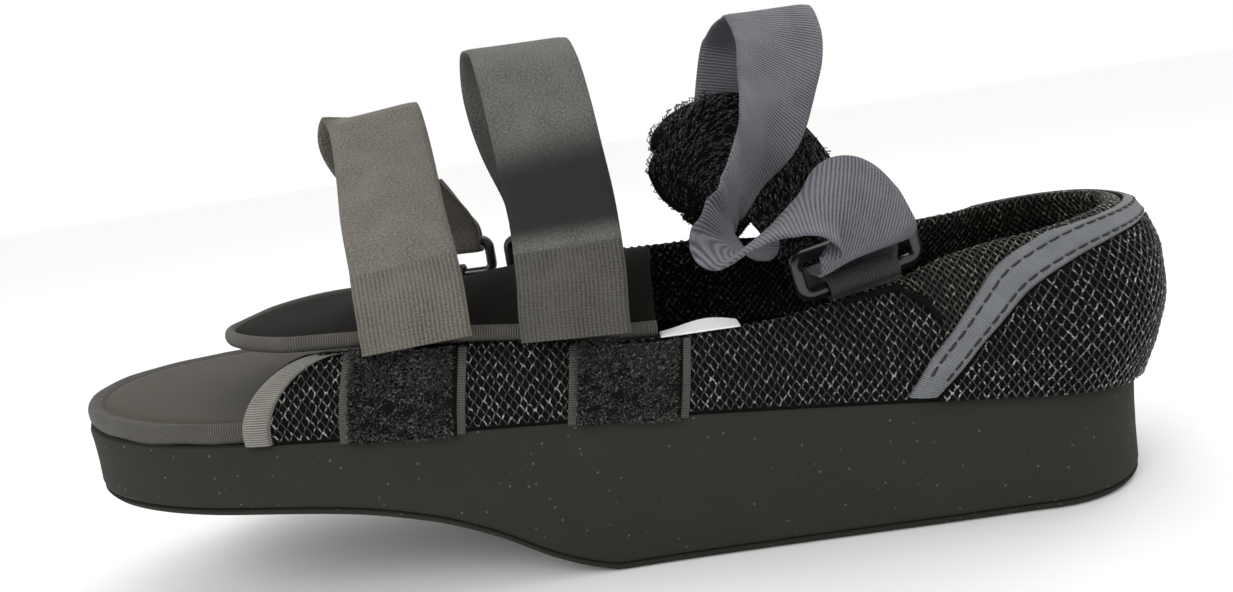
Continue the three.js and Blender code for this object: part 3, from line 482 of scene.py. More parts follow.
EDGE_ROUND = 1.6
CRISP_EDGE = math.radians(50)
wedge = plan_body("foam_wedge", eva_foam, "foam", "midsole", [
    (0.9, foam_bottom),
    (0.45, lambda x: foam_bottom(x) + 0.25),
    (0.1, lambda x: foam_bottom(x) + EDGE_ROUND),
    (0.3, lambda x: foam_bottom(x) * 0.6 + bed_z(x) * 0.4),
    (0.25, lambda x: foam_bottom(x) * 0.3 + bed_z(x) * 0.7),
    (0.05, lambda x: bed_z(x) - EDGE_ROUND),
    (0.4, lambda x: bed_z(x) - 0.35),
    (1.2, bed_z),
])
sheet = plan_body("outsole_sheet", eva_sheet, "outsole", "outsole", [
    (2.4, tread_z),
    (1.2, lambda x: tread_z(x) + 0.35),
    (0.55, lambda x: tread_z(x) + OUTSOLE_SHEET * 0.6),
    (0.3, lambda x: tread_z(x) + OUTSOLE_SHEET * 0.85),
    (0.8, lambda x: tread_z(x) + OUTSOLE_SHEET),
])
for piece in (wedge, sheet):
    crisp = piece.modifiers.new("crisp_edges", "EDGE_SPLIT")
    crisp.split_angle = CRISP_EDGE

# %% [markdown]
# Grosgrain is a tape with fat cross ribs, folded over a raw edge and sewn down. Its ribs are
# about 0.6 mm apart, which shows, so a Wave texture along the tape's lay makes both the bump
# and the dark lines between the ribs. A slow noise makes the light uneven, as on a worn tape.

# %% Grosgrain binding
RIB_PITCH = 0.62


def make_grosgrain(name, dark, light, rib_pitch=RIB_PITCH):
    look = Look(name, on_lay=True, Roughness=0.62, Specular_IOR_Level=0.4)
    ribs = look.ribs(rib_pitch, distortion=0.5, detail=2)
    threads = look.noise(2.5, 3)
    worn = look.noise(0.12, 2)
    shade = look.mix(look.maths("MULTIPLY", ribs, threads), dark, light)
    faded = look.mix(worn, shade, light)
    return look.finish(look.mix(0.35, shade, faded), ribs, depth=0.22, strength=0.8)


grosgrain = make_grosgrain("grosgrain_binding", "#0a0908", "#6c685e")
quarter_grosgrain = make_grosgrain("grosgrain_quarter_tape", "#1b1b19", "#b5b2a8")
counter_tape = make_grosgrain("grosgrain_counter_tape", "#232527", "#a3a6aa", 0.5)

# %% [markdown]
# The footbed is a board covered with brushed microfibre, which looks like suede. Brushed nap
# is short and lies this way and that, so it has broad soft patches, a velvet edge that sheen
# gives, and almost no highlight.

# %% Brushed footbed cover
look = Look("brushed_microfibre", Roughness=0.95, Specular_IOR_Level=0.1, Sheen_Weight=0.1)
nap = look.noise(0.05, 6, Roughness=0.65)
fibres = look.noise(2.2, 3)
fuzzy = look.mix(fibres, look.mix(nap, "#312e28", "#4f4b43"), "#454138")
footbed_cover = look.finish(fuzzy, fibres, depth=0.2, strength=0.5)

BOARD_INSET = UPPER_WALL + 2 * CLEARANCE
BOARD_GROOVE = 1.6


def board_bottom(x):
    return bed_z(x) + CLEARANCE


def board_top(x):
    return board_bottom(x) + INSOLE_THICKNESS


plan_body("footbed", footbed_cover, "footbed", "insole", [
    (BOARD_INSET, board_bottom),
    (BOARD_INSET, lambda x: board_top(x) - 0.5),
    (BOARD_INSET + 0.4, lambda x: board_top(x) - 0.1),
    (BOARD_INSET + 1.0, lambda x: board_top(x) - 0.1),
    (BOARD_INSET + BOARD_GROOVE, lambda x: board_top(x) - 0.65),
    (BOARD_INSET + 2.6, lambda x: board_top(x) - 0.1),
    (BOARD_INSET + 5, board_top),
])

# %% [markdown]
# The tape round the open toe is one strip folded over the board's edge. Its section is a soft
# fold: out, over and in. It wavers a little in height, as a tape does that was fed by hand.

# %% Tape round the toe
TOE_TAPE_WIDTH, TOE_TAPE_THICKNESS, TOE_TAPE_FLAT = 2.4, 0.7, 8
TOE_FOLD = table("at depth lift", [
    (0, 0.35, 0), (0.2, 0.02, 0.25), (0.4, 0, 0.7), (0.55, 0.12, 0.98), (0.7, 0.45, 1.14),
    (0.85, 0.85, 1.12), (1, 1.25, 0.98),
])


def toe_tape():
    start = turn_at(to_x(QUARTER_FRONT - 3))
    turn = np.linspace(start, 2 - start, 360)
    shares = np.linspace(0, 1, 15)
    depth = UPPER_WALL + CLEARANCE + TOE_TAPE_WIDTH * (along(TOE_FOLD, "depth", shares) - 1)
    lift = INSOLE_THICKNESS * along(TOE_FOLD, "lift", shares)
    rim, normal = rim_point(turn), rim_normal(turn)
    arc = run_length(rim)
    waver = 0.25 * np.sin(arc / 7) + 0.2 * np.sin(arc / 3.1 + 1)

    def face(inwards):
        place = rim[:, None] - normal[:, None] * (depth + inwards)[None, :, None]
        height = board_bottom(rim[:, 0])[:, None] + lift - inwards * 0.4 + waver[:, None] * (1 - shares)
        return np.concatenate([place, height[..., None]], -1)

    lay = stack(arc[:, None], shares * TOE_TAPE_FLAT, 0)
    sheet_piece("toe_tape", grosgrain, "binding", "toe_binding", face(0), face(TOE_TAPE_THICKNESS), lay)


toe_tape()

# %% [markdown]
# The upper is one knitted spacer mesh wall: two net faces with a soft core between them. Here
# the core is a plain dark wall with a rolled top edge, open at throat and toe, and the net is
# laid over it as real threads. A wall of its own keeps the upper hollow and gives the holes
# of the net their depth.

# %% Core of the spacer mesh
look = Look("spacer_mesh_core", Roughness=0.95, Specular_IOR_Level=0.1)
mesh_core = look.finish(look.mix(look.noise(1, 2), "#050505", "#121211"))

ROLL_LEVEL = 0.92


def wall_section():
    """Level and inward share of the wall's section, from the outer foot over the top and down."""
    rise = np.linspace(0, ROLL_LEVEL, 22)[:-1]
    angle = np.linspace(0, np.pi, 13)
    roll = ROLL_LEVEL + (1 - ROLL_LEVEL) * np.sin(angle)
    level = np.concatenate([rise, roll, rise[::-1]])
    depth = np.concatenate([0 * rise, (1 - np.cos(angle)) / 2, 0 * rise + 1])
    return level, depth


def wall_shell(turn):
    """Points round the wall's section at each turn, or at a grid of turns."""
    level, depth = wall_section()
    return wall_point(turn, level, -wall_depth(turn, np.minimum(level, ROLL_LEVEL)) * depth)


def closing_faces(rows, columns):
    """Faces that close a folded grid: along its open foot and across its two ends."""
    i = np.arange(rows - 1)
    foot = np.stack([i * columns, (i + 1) * columns, (i + 2) * columns - 1, (i + 1) * columns - 1], -1)
    half = columns // 2
    j = np.arange(half)
    start = np.stack([j, columns - 1 - j, columns - 2 - j, j + 1], -1)
    start = start[start[:, 2] != start[:, 3]]
    end = start[:, ::-1] + (rows - 1) * columns
    return foot, start, end


def upper_core():
    level, _ = wall_section()
    shell = wall_shell(np.linspace(-1, 1, 261)[:, None] * turn_at(front_at(level * 0.985)))
    rows, columns = shell.shape[:2]
    soup = Soup()
    soup.add(shell, [grid_faces(rows, columns), *closing_faces(rows, columns)])
    soup.build("upper_core", mesh_core, "mesh", "upper", weld=0.001)


upper_core()

# %% [markdown]
# The net of a spacer mesh is a honeycomb of glossy polyester threads, 2.4 mm from hole to hole
# and 1.6 mm from row to row. A texture of holes stays flat, so the threads are real: each row
# is a thread that swings up and down, out of step with the next, and touches it at every
# swing. It is laid on any surface that a function of two distances gives.

# %% Threads of the net
HOLE_PITCH, ROW_PITCH = 2.4, 1.6
THREAD_ACROSS, THREAD_RISE = 0.25, 0.2
NET_LIFT, TOUCH_RISE, UNEVEN_RISE = 0.2, 0.16, 0.08
STEPS_A_HOLE = 6
SWING_SHARE, SWING_STEEPNESS = 0.93, 1.2


def make_yarn(name, dark, light):
    """Glossy thread, black, with broken bright highlights painted into its colour."""
    look = Look(name, Roughness=0.38, Specular_IOR_Level=0.6)
    # Patches of the light colour are painted highlights on the black yarn
    painted_highlight = look.remap(look.noise(0.9, 3), 0.52, 0.72)
    return look.finish(look.mix(painted_highlight, dark, light))


# Each yarn's second colour is its painted highlight
thread_yarn = make_yarn("polyester_net_yarn", "#070707", "#b2b2b1")
collar_yarn = make_yarn("polyester_collar_yarn", "#181712", "#a29e8c")


def surface(grid, firsts, seconds):
    """A function that gives the point of a grid at two distances, between its points."""
    def place(first, second):
        i = np.clip(np.interp(first, firsts, np.arange(len(firsts))), 0, len(firsts) - 1.001)
        j = np.clip(np.interp(second, seconds, np.arange(len(seconds))), 0, len(seconds) - 1.001)
        i0, j0 = i.astype(int), j.astype(int)
        u, v = (i - i0)[..., None], (j - j0)[..., None]
        near = grid[i0, j0] * (1 - v) + grid[i0, j0 + 1] * v
        far = grid[i0 + 1, j0] * (1 - v) + grid[i0 + 1, j0 + 1] * v
        return near * (1 - u) + far * u
    return place


def normals_of(place, first, second, outward=1, step=0.4):
    ahead = place(first + step, second) - place(first - step, second)
    aside = place(first, second + step) - place(first, second - step)
    return unit(np.cross(ahead, aside)) * outward


def runs(mask, shortest=3):
    """Start and end of each stretch of True."""
    edges = np.flatnonzero(np.diff(np.concatenate([[0], mask.astype(int), [0]])))
    return [(a, b) for a, b in edges.reshape(-1, 2) if b - a >= shortest]


def lay_net(soup, place, span, rows, keep, outward=1, hole=HOLE_PITCH, row=ROW_PITCH, lift=NET_LIFT):
    """Adds the threads of a net over a surface, where keep says so."""
    first = np.arange(*span, hole / STEPS_A_HOLE)
    for k in range(*rows):
        wave = 2 * np.pi * first / hole + np.pi * k
        swing = np.clip(SWING_STEEPNESS * np.cos(wave), -1, 1)
        second = k * row + 0.5 * row * SWING_SHARE * swing
        normal = normals_of(place, first, second, outward)
        proud = lift + TOUCH_RISE * np.abs(np.cos(wave)) + UNEVEN_RISE * np.sin(2.1 * first + 1.7 * k)
        points = place(first, second) + normal * proud[:, None]
        for a, b in runs(keep(first, second)):
            tubes(soup, points[None, a:b], normal[None, a:b], THREAD_ACROSS, THREAD_RISE, sides=3)


# %% [markdown]
# The wall's section is measured along its own curve, over the top edge and down inside, so the
# holes keep their size where the mesh rolls over. The heel panel covers the wall's lower back,
# and the table of its tape's two edges says where no net is needed.

# %% The wall laid out flat
SECTION_STEPS = 70
COUNTER = table("low_at low high_at high", [
    (1.32, 0.03, 1.48, 0.035), (1.2, 0.16, 1.345, 0.235), (1.065, 0.31, 1.205, 0.385),
    (0.92, 0.45, 1.05, 0.555), (0.79, 0.57, 0.91, 0.7), (0.62, 0.68, 0.72, 0.815),
    (0.43, 0.77, 0.5, 0.905), (0.22, 0.84, 0.25, 0.965), (0.07, 0.875, 0.08, 0.99),
    (0, 0.885, 0, 0.995),
])
COUNTER["at"] = np.linspace(0, 1, len(COUNTER["low"]))


def counter_edge(place_share, edge):
    """Distance from the heel's end and height of the heel panel's tape: edge is low or high."""
    return (COLLAR_HEIGHT * along(COUNTER, edge + "_at", place_share),
            COLLAR_HEIGHT * along(COUNTER, edge, place_share))


COUNTER_EDGES = {edge: counter_edge(np.linspace(0, 1, 200), edge) for edge in ("low", "high")}


def counter_top(from_heel, edge):
    """Height of the tape's low or high edge over the footbed at a distance from the heel."""
    at, height = COUNTER_EDGES[edge]
    return np.interp(from_heel, at[::-1], height[::-1], right=0)


def section_surface(first_arc, last_arc, columns=260):
    """The wall laid out by distance round the rim and distance up and over its section."""
    arcs = np.linspace(first_arc, last_arc, columns)
    shell = wall_shell(turn_of(arcs)[:, None])
    length = np.array([run_length(section) for section in shell])
    longest = length.max()
    reach = np.linspace(0, 1, SECTION_STEPS) * longest
    even = np.array([
        stack(*(np.interp(np.minimum(reach, run[-1]), run, section[:, axis]) for axis in range(3)))
        for run, section in zip(length, shell)
    ])
    return surface(even, arcs, reach), arcs, longest, length[:, length.shape[1] // 2]


PATCH_WIDTH, PATCH_LEAN = 30, 3.5
PATCHES = {"front": 178, "middle": 123}

# %% [markdown]
# The quarter has two layers. The outer one ends on a rolled edge below the collar, and behind it
# the collar shows a finer net of olive yarn. A table gives the height of that edge at a distance
# from the heel, and the nets of both layers meet there. Each net goes over the wall's top and
# down inside by a share of the wall's height. It is left out under the heel panel and under the
# two pile patches.

# %% Nets of the quarter and the collar
LAYER_EDGE = table("at height", [
    (58.5, 20), (60.3, 23.5), (63, 25.6), (66, 27.2), (72, 28.6), (80, 28.5),
])
FAR_COLLAR_END = 112
# Where the net inside the wall ends, by side: its distance from the heel and its depth as a share
INSIDE_NET = {1: (120, 0.5), -1: (190, 0.75)}
TAPE_END, PATCH_HEM = 68, 2
# Side, whether it is the collar's, pitch of holes and of rows in mm, yarn, and lift off the wall
NETS = {
    "net_left": (1, False, HOLE_PITCH, ROW_PITCH, thread_yarn, NET_LIFT),
    "net_right": (-1, False, HOLE_PITCH, ROW_PITCH, thread_yarn, NET_LIFT),
    "net_collar_left": (1, True, 1.8, 1.2, collar_yarn, 0.05),
    "net_collar_right": (-1, True, 2.1, 1.4, collar_yarn, 0.05),
}


def on_collar(from_heel, height, side):
    if side < 0:
        return from_heel < FAR_COLLAR_END
    line = np.interp(from_heel, LAYER_EDGE["at"], LAYER_EDGE["height"], left=0)
    return (from_heel < LAYER_EDGE["at"][-1]) & (height > line)


def upper_net(name, side, collar, hole, row, yarn, lift):
    """The net on one side: outside all the way, and inside by a share of the wall's height."""
    arcs_from, arcs_to = sorted((side * 0.6, arc_at(QUARTER_FRONT - 5, side)))
    place, arcs, longest, top = section_surface(arcs_from, arcs_to)
    inside_end, inside_share = INSIDE_NET[side]

    def keep(arc, up):
        from_heel = from_heel_of(arc)
        half = np.interp(arc, arcs, top)
        level = np.minimum(up / half, 1)
        inside = half * np.where(from_heel < inside_end, inside_share, 0.05)
        shown = (up > 0.8) & (up < half + 1.5 + inside)
        shown &= on_collar(from_heel, level * top_height(turn_of(arc)), side) == collar
        shown &= ~((up < counter_top(from_heel, "high") - 2) & (from_heel < TAPE_END))
        shown &= to_x(from_heel) < front_at(np.clip(level, 0, 1)) - 5
        if side > 0:
            for rear in PATCHES.values():
                middle = from_heel + PATCH_LEAN * level - rear
                shown &= ~((middle > PATCH_HEM) & (middle < PATCH_WIDTH - PATCH_HEM) & (up < half * 0.97))
        return shown

    soup = Soup()
    lay_net(soup, place, (arcs_from, arcs_to), (0, int(longest / row)), keep, -1, hole, row, lift)
    soup.build(name, yarn, "mesh")


def layer_roll():
    """The outer layer's rolled edge, from the wall's top down to the heel tape."""
    from_heel = np.linspace(LAYER_EDGE["at"][-1], LAYER_EDGE["at"][0], 60)
    turn = turn_at(to_x(from_heel))
    height = np.interp(from_heel, LAYER_EDGE["at"], LAYER_EDGE["height"])
    level = np.minimum(height / top_height(turn), 0.97)
    path = wall_point(turn, level, 0.5)
    soup = Soup()
    tubes(soup, path[None], unit(wall_point(turn, level, 1.5) - path)[None], 0.8, 0.9, sides=10)
    soup.build("quarter_layer_edge", mesh_core, "mesh")


for name, net in NETS.items():
    upper_net(name, *net)
layer_roll()

# %% [markdown]
# The heel panel is a second layer of the same mesh, stiffened, sewn over the wall's back. Its
# net runs level round the heel. Only its upper edge is special: it follows the tape's table.

# %% Heel panel
PANEL_GAP, COUNTER_SHEET, PANEL_SWELL = 0.6, 1.5, 0.35


def on_wall(arc, height, out):
    """A point at a distance round the rim and a height over the footbed, out from the wall."""
    turn = turn_of(arc)
    return wall_point(turn, height / top_height(turn), out)


def heel_panel():
    end, highest = (COUNTER_EDGES["low"][k].max() for k in (0, 1))
    left = TURNS >= 0
    reach = np.interp(end, rim_point(TURNS[left])[:, 0] - HEEL_X, ARCS[left])
    arcs = np.linspace(-reach, reach, 181)[:, None]
    up = np.linspace(0, 1, 17)
    height = np.maximum(counter_top(from_heel_of(arcs), "low"), 1) * up
    swell = PANEL_SWELL * (np.sin(np.pi * up) ** 0.5 - 1)
    sheet_piece("heel_panel_core", mesh_core, "mesh", "heel_counter",
                on_wall(arcs, height, PANEL_GAP + COUNTER_SHEET + swell), on_wall(arcs, height, PANEL_GAP))

    def keep(arc, height):
        return (height > 0.4) & (height < counter_top(from_heel_of(arc), "low") + 0.5)

    net = Soup()
    lay_net(net, lambda arc, height: on_wall(arc, height, PANEL_GAP + COUNTER_SHEET),
            (-reach, reach), (0, int(highest / ROW_PITCH) + 1), keep, -1)
    net.build("net_heel", thread_yarn, "mesh")


heel_panel()

# %% [markdown]
# A wide tape covers the panel's edge, held by two rows of dark stitches that sink into it. The
# tape is a crowned strip with two shallow furrows. Each stitch is a short tube in its furrow,
# 2.6 mm long with a gap of 1 mm, so the thread catches its own small light.

# %% Tape over the heel panel
sewing_thread = Look("sewing_thread", colour="#161616", Roughness=0.55, Specular_IOR_Level=0.4).material
STITCH_LENGTH, STITCH_GAP, STITCH_SEAT = 2.6, 1.0, 1.75
TAPE_EDGE, TAPE_CROWN, TAPE_FLAT = 0.95, 1.25, 7.5
FURROW_DEPTH, FURROW_WIDTH = 0.35, 0.045
FURROWS = (0.24, 0.78)


def tape_place(share, up, out):
    """A point of the heel tape: share runs from its left foot round the heel to its right foot."""
    side = np.where(share < 0.5, 1, -1)
    place = np.where(share < 0.5, share, 1 - share) * 2
    low_s, low_h = counter_edge(place, "low")
    high_s, high_h = counter_edge(place, "high")
    up = 0.04 + 0.96 * up
    low_turn, high_turn = side * turn_at(to_x(low_s)), side * turn_at(to_x(high_s))
    turn = low_turn + (high_turn - low_turn) * up
    height = low_h + (high_h - low_h) * up
    return wall_point(turn, np.minimum(height / top_height(turn), 1), out)


def heel_tape():
    share = np.linspace(0, 1, 401)[:, None]
    up = np.linspace(0, 1, 25)[None, :]
    furrow = sum(np.exp(-((up - at) / FURROW_WIDTH) ** 2) for at in FURROWS)
    crown = TAPE_CROWN * (1 - np.abs(2 * up - 1) ** 5) - FURROW_DEPTH * furrow
    outer = tape_place(share, up, PANEL_GAP + TAPE_EDGE + crown)
    arc = run_length(outer[:, 12])
    sheet_piece("heel_tape", counter_tape, "binding", "counter_binding",
                outer, tape_place(share, up, PANEL_GAP), stack(arc[:, None], up * TAPE_FLAT, 0))

    stitches = Soup()
    starts = np.arange(6, arc[-1] - 6, STITCH_LENGTH + STITCH_GAP)
    along_stitch = np.linspace(0, 1, 6)
    for at in FURROWS:
        where = np.interp(starts[:, None] + STITCH_LENGTH * along_stitch, arc, share[:, 0])
        sink = 0.1 + 0.28 * np.sin(np.pi * along_stitch)
        points = tape_place(where, at, PANEL_GAP + STITCH_SEAT + sink)
        below = tape_place(where, at, PANEL_GAP)
        tubes(stitches, points, unit(points - below), 0.3, 0.24, sides=6)
    stitches.build("heel_tape_stitches", sewing_thread, "binding")


heel_tape()

# %% [markdown]
# The quarter's front edge is bound like the footbed: a tape folded round the raw mesh, rounded
# at its top corner. The fold is drawn as a strip that goes round the wall's thickness.

# %% Tapes on the quarters' front edges
QUARTER_FOLD = table("at back out", [
    (0, 6.5, 0.75), (0.06, 6.3, 1.5), (0.2, 5, 1.75), (0.42, 2.6, 1.8), (0.58, 0.7, 1.6),
    (0.68, 0, 0.7), (0.8, -0.1, -1.6), (0.88, 0.4, -2.9), (1, 4.5, -3.05),
])
FOLD_MIDDLE, FOLD_THICKNESS, FOLD_FLAT = -0.6, 0.55, 14


def quarter_tape(name, side):
    up = np.linspace(0, 0.999, 90)[:, None]
    fold = np.linspace(0, 1, 27)
    back, out = along(QUARTER_FOLD, "back", fold), along(QUARTER_FOLD, "out", fold)
    x = front_at(up) - back

    def face(inwards):
        reach = out - inwards * np.sign(out - FOLD_MIDDLE)
        return wall_point(side * turn_at(x - inwards * 0.5), up, reach)

    outer = face(0)
    lay = stack(run_length(outer[:, 8])[:, None], fold * FOLD_FLAT, 0)
    sheet_piece("quarter_tape_" + name, quarter_grosgrain, "binding", "quarter_binding_" + name,
                outer, face(FOLD_THICKNESS), lay)


quarter_tape("left", 1)
quarter_tape("right", -1)

# %% [markdown]
# Loop pile is the soft half of a hook and loop closure: thousands of fine nylon loops, combed
# and a little matted. Particles or hair curves don't survive an export, so each loop is a thin
# three-sided tube that leaves the ground cloth, bends over and comes back near it. The seed is
# fixed, and so the pile is the same each time.

# %% Loop pile
look = Look("nylon_loop_pile", Roughness=0.45, Specular_IOR_Level=0.5, Sheen_Weight=0.1)
# Bright patches on the near-black loops are painted glints
painted_glints = look.remap(look.noise(1.4, 2), 0.5, 0.74)
pile_yarn = look.finish(look.mix(painted_glints, "#060606", "#85817b"))
LOOP_WIRE, LOOP_STEPS = 0.1, 5
LOOP_SIZES, LOOP_CURLS, LOOP_CLOSED = (0.45, 1.15), (-0.7, 0.7), 0.86


def lay_pile(soup, place, first, second, outward, seed, height=1.3, lean=1.5, wire=LOOP_WIRE):
    """Adds one loop at each pair of distances on a surface."""
    chance = np.random.default_rng(seed)
    count = len(first)
    root = place(first, second)
    normal = normals_of(place, first, second, outward)
    ahead = unit(place(first + 0.4, second) - place(first - 0.4, second))
    aside = np.cross(normal, ahead)
    angle = chance.uniform(0, 2 * np.pi, (count, 1))
    bearing = np.cos(angle) * ahead + np.sin(angle) * aside
    cross = np.cross(normal, bearing)
    size = chance.uniform(*LOOP_SIZES, (count, 1))
    curl = chance.uniform(*LOOP_CURLS, (count, 1))
    t = np.linspace(0, 1, LOOP_STEPS)[None, :, None]
    rise = height * size[:, None] * np.sin(np.pi * t * LOOP_CLOSED)
    drift = lean * size[:, None] * (t + 0.25 * np.sin(2 * np.pi * t))
    turn = curl[:, None] * np.sin(np.pi * t)
    paths = root[:, None] + normal[:, None] * rise + bearing[:, None] * drift + cross[:, None] * turn
    ups = unit(np.repeat(normal[:, None], LOOP_STEPS, axis=1) + 0.01)
    tubes(soup, paths, ups, wire, wire, sides=3)


def scatter(first_span, second_span, each_mm2, seed):
    """Distances of places that are strewn evenly over a rectangle."""
    chance = np.random.default_rng(seed)
    count = int(np.ptp(first_span) * np.ptp(second_span) * each_mm2)
    return chance.uniform(*first_span, count), chance.uniform(*second_span, count)


# %% [markdown]
# Each patch is a strip of that pile sewn upright over the quarter. Its woven edges stay flat
# and smooth, and the pile between them swells and hangs a little over the foam.

# %% Pile patches on the left quarter
SELVAGE = 2.2
pile_ground = Look("pile_ground_cloth", colour="#0b0b0b", Roughness=0.95, Specular_IOR_Level=0.1).material


PATCH_GROUND, PATCH_SWELL, LOOPS_START = 0.75, 0.75, 1.25
PATCH_LOOPS_MM2 = 6.3


def pile_patch(name, rear, seed):
    def place(first, second, out=0.0):
        level = second / QUARTER_HEIGHT
        turn = turn_at(to_x(rear + first - PATCH_LEAN * level))
        return wall_point(turn, np.clip(level, -0.06, 1), out)

    first = np.linspace(0, PATCH_WIDTH, 61)[:, None]
    second = np.linspace(-0.9, 0.98 * QUARTER_HEIGHT, 49)[None, :]
    pile = smooth(SELVAGE - 0.4, SELVAGE + 0.6, np.minimum(first, PATCH_WIDTH - first))
    wave = 0.25 * np.sin(first * 0.9 + 1.3 * second) + 0.2 * np.sin(second * 1.1 - first * 0.4)
    hang = 0.5 * np.sin(np.pi * (second + 1) / (QUARTER_HEIGHT + 1))
    swell = PATCH_GROUND + pile * (PATCH_SWELL + hang + wave * 0.6)
    ground = sheet_piece("patch_" + name + "_ground", pile_ground, "loop_pile", "loop_patch_" + name,
                         place(first, second, swell), place(first, second, 0.25), stack(second, first, 0))
    ground.data.materials.append(grosgrain)
    lay = ground.data.attributes["lay"].data
    for polygon in ground.data.polygons:
        across = lay[polygon.vertices[0]].vector[1]
        in_pile = SELVAGE - 0.3 <= across <= PATCH_WIDTH - SELVAGE + 0.1
        polygon.material_index = 0 if in_pile else 1

    hem = SELVAGE + 0.1
    spread = scatter((hem, PATCH_WIDTH - hem), (-1.1, 0.99 * QUARTER_HEIGHT), PATCH_LOOPS_MM2, seed)
    loops = Soup()
    lay_pile(loops, lambda a, b: place(a, b, LOOPS_START), *spread, -1, seed)
    loops.build("patch_" + name + "_loops", pile_yarn, "loop_pile")


pile_patch("front", PATCHES["front"], 11)
pile_patch("middle", PATCHES["middle"], 12)

# %% [markdown]
# The flap over the instep is a padded pad of brushed fabric with a bound rim. It lies on the
# left quarter's edge and dips inside the right one. Its crown comes from one formula, the same
# as in the model, and its rounded nose from the circle that the binding follows.

# %% Instep flap
FLAP_START, FLAP_END, FLAP_NOSE, FLAP_THICKNESS = 128, 246, 30, 3
FLAP_TIP = 0.985
FLAP_EDGE, FLAP_CROWN, FLAP_BELLY, FLAP_QUILT = 0.35, 0.75, 0.65, 0.35
RIM_WIDTH, RIM_HEIGHT, RIM_TUCK = 2.4, 4, 0.3
FLAP = table("at left right crest", [
    (0, 0.33, 0.27, 1.72), (0.3, 0.37, 0.3, 1.56), (0.55, 0.4, 0.33, 1.34),
    (0.8, 0.41, 0.36, 1.15), (1, 0.4, 0.36, 1.03),
])

look = Look("brushed_flap_cover", Roughness=0.95, Specular_IOR_Level=0.08, Sheen_Weight=0.02)
brushed = look.node("Mapping", {"Vector": look.place, "Scale": (1, 0.2, 1)}).outputs[0]
nap = look.noise(0.6, 4, brushed)
clouded = look.mix(look.noise(0.08, 3), look.mix(nap, "#080706", "#211e19"), "#15130f")
flap_cover = look.finish(clouded, nap, depth=0.25, strength=0.5)


def flap_place(length_share, across_share, lift):
    """A point of the flap at shares of its length and of its half width, lifted by some mm."""
    length_share, across_share = np.broadcast_arrays(length_share, across_share)
    x = to_x(FLAP_START + (FLAP_END - FLAP_START) * length_share)
    full = BALL_WIDTH * along(FLAP, "left", length_share)
    wide = BALL_WIDTH * along(FLAP, "right", length_share)
    crest = QUARTER_HEIGHT * along(FLAP, "crest", length_share)
    edge_turn = np.minimum(turn_at(x), turn_at(front_at(0.9)))
    edge = top_height(edge_turn) + CLEARANCE * 3 + RIM_HEIGHT / 2
    y = across_share * rounded(to_x(FLAP_END) - x, FLAP_NOSE) * np.where(across_share > 0, full, wide)
    drop = (crest - edge) * (np.abs(y) / full) ** 2
    return stack(x, y, bed_z(x) + crest - drop + lift)


def flap():
    step = np.linspace(0, 1, 100)
    length_share = ((np.sin(step * np.pi / 2) + step) / 2 * FLAP_TIP)[:, None]
    across = np.linspace(1, -1, 61)[None, :]
    crown = (1 - np.abs(across) ** 6) * (1 - smooth(0.93, 1, length_share) * 0.4)
    quilt = FLAP_QUILT * np.sin(length_share * 21) * (1 - across ** 2)
    half = FLAP_THICKNESS / 2
    outer = flap_place(length_share, across, half * (FLAP_EDGE + FLAP_CROWN * crown) + quilt)
    inner = flap_place(length_share, across, -half * (FLAP_EDGE + FLAP_BELLY * crown))
    cover = sheet_piece("flap_cover", flap_cover, "flap", "instep_flap", outer, inner)

    steps = np.linspace(0, 2, 360)
    half_way = np.minimum(steps, 2 - steps)
    edge = flap_place(np.sin(half_way * np.pi / 2) * FLAP_TIP, np.where(steps <= 1, 1.0, -1.0), 0)
    edge = edge[np.diff(run_length(edge), prepend=-1) > 0.05]
    arc = run_length(edge)
    even = np.arange(0, arc[-1], 0.8)
    edge = stack(*(np.interp(even, arc, edge[:, axis]) for axis in range(3)))
    way = unit(np.gradient(edge, axis=0) * (1, 1, 0))
    path = edge + stack(-way[:, 1], way[:, 0], 0) * (CLEARANCE + RIM_WIDTH / 2 - RIM_TUCK)
    up = np.zeros_like(path) + (0, 0, 1)
    rim = Soup()
    tubes(rim, path[None], up[None], RIM_WIDTH / 2 + RIM_TUCK, RIM_HEIGHT / 2, 14, stack(even, 0, 0)[None])
    rim.build("flap_rim", grosgrain, "binding", "flap_binding")


flap()

# %% [markdown]
# Between the flap's rim and its brushed top a strip of the spacer mesh shows, from behind the
# front strap to the rear edge, where the mesh turns over.

# %% Mesh strip on the flap
STRIP_SPAN = (0.02, 0.62)
STRIP_WIDTH, STRIP_WIDER, STRIP_REACH = 5.5, 3, 9


def flap_net():
    columns = np.linspace(*STRIP_SPAN, 90)
    reach = np.linspace(0, STRIP_REACH, 16)
    wide = BALL_WIDTH * along(FLAP, "left", columns)
    across = 1 - reach[None, :] / wide[:, None]
    lift = FLAP_THICKNESS / 2 * (FLAP_EDGE + FLAP_CROWN * (1 - np.abs(across) ** 6))
    grid = flap_place(columns[:, None], across, lift)
    firsts = (FLAP_END - FLAP_START) * columns
    soup = Soup()
    place = surface(grid, firsts, reach)

    def keep(first, second):
        inner_edge = STRIP_WIDTH + STRIP_WIDER * (1 - smooth(8, 30, first))
        return (second > 0.6) & (second < inner_edge)

    lay_net(soup, place, (firsts[0], firsts[-1]), (1, 6), keep, 1)
    soup.build("net_flap", thread_yarn, "flap")


flap_net()

# %% [markdown]
# Nylon webbing is woven flat: weft threads lie across the strap, and fine warp threads bind
# them. Both show, so the bump and colour come from two Wave textures on the lay, one along and
# one across, broken up by noise. The hook tape below the seam is a knitted ground with ribs
# that run down the strap, 1.07 mm apart, each a row of small stitches.

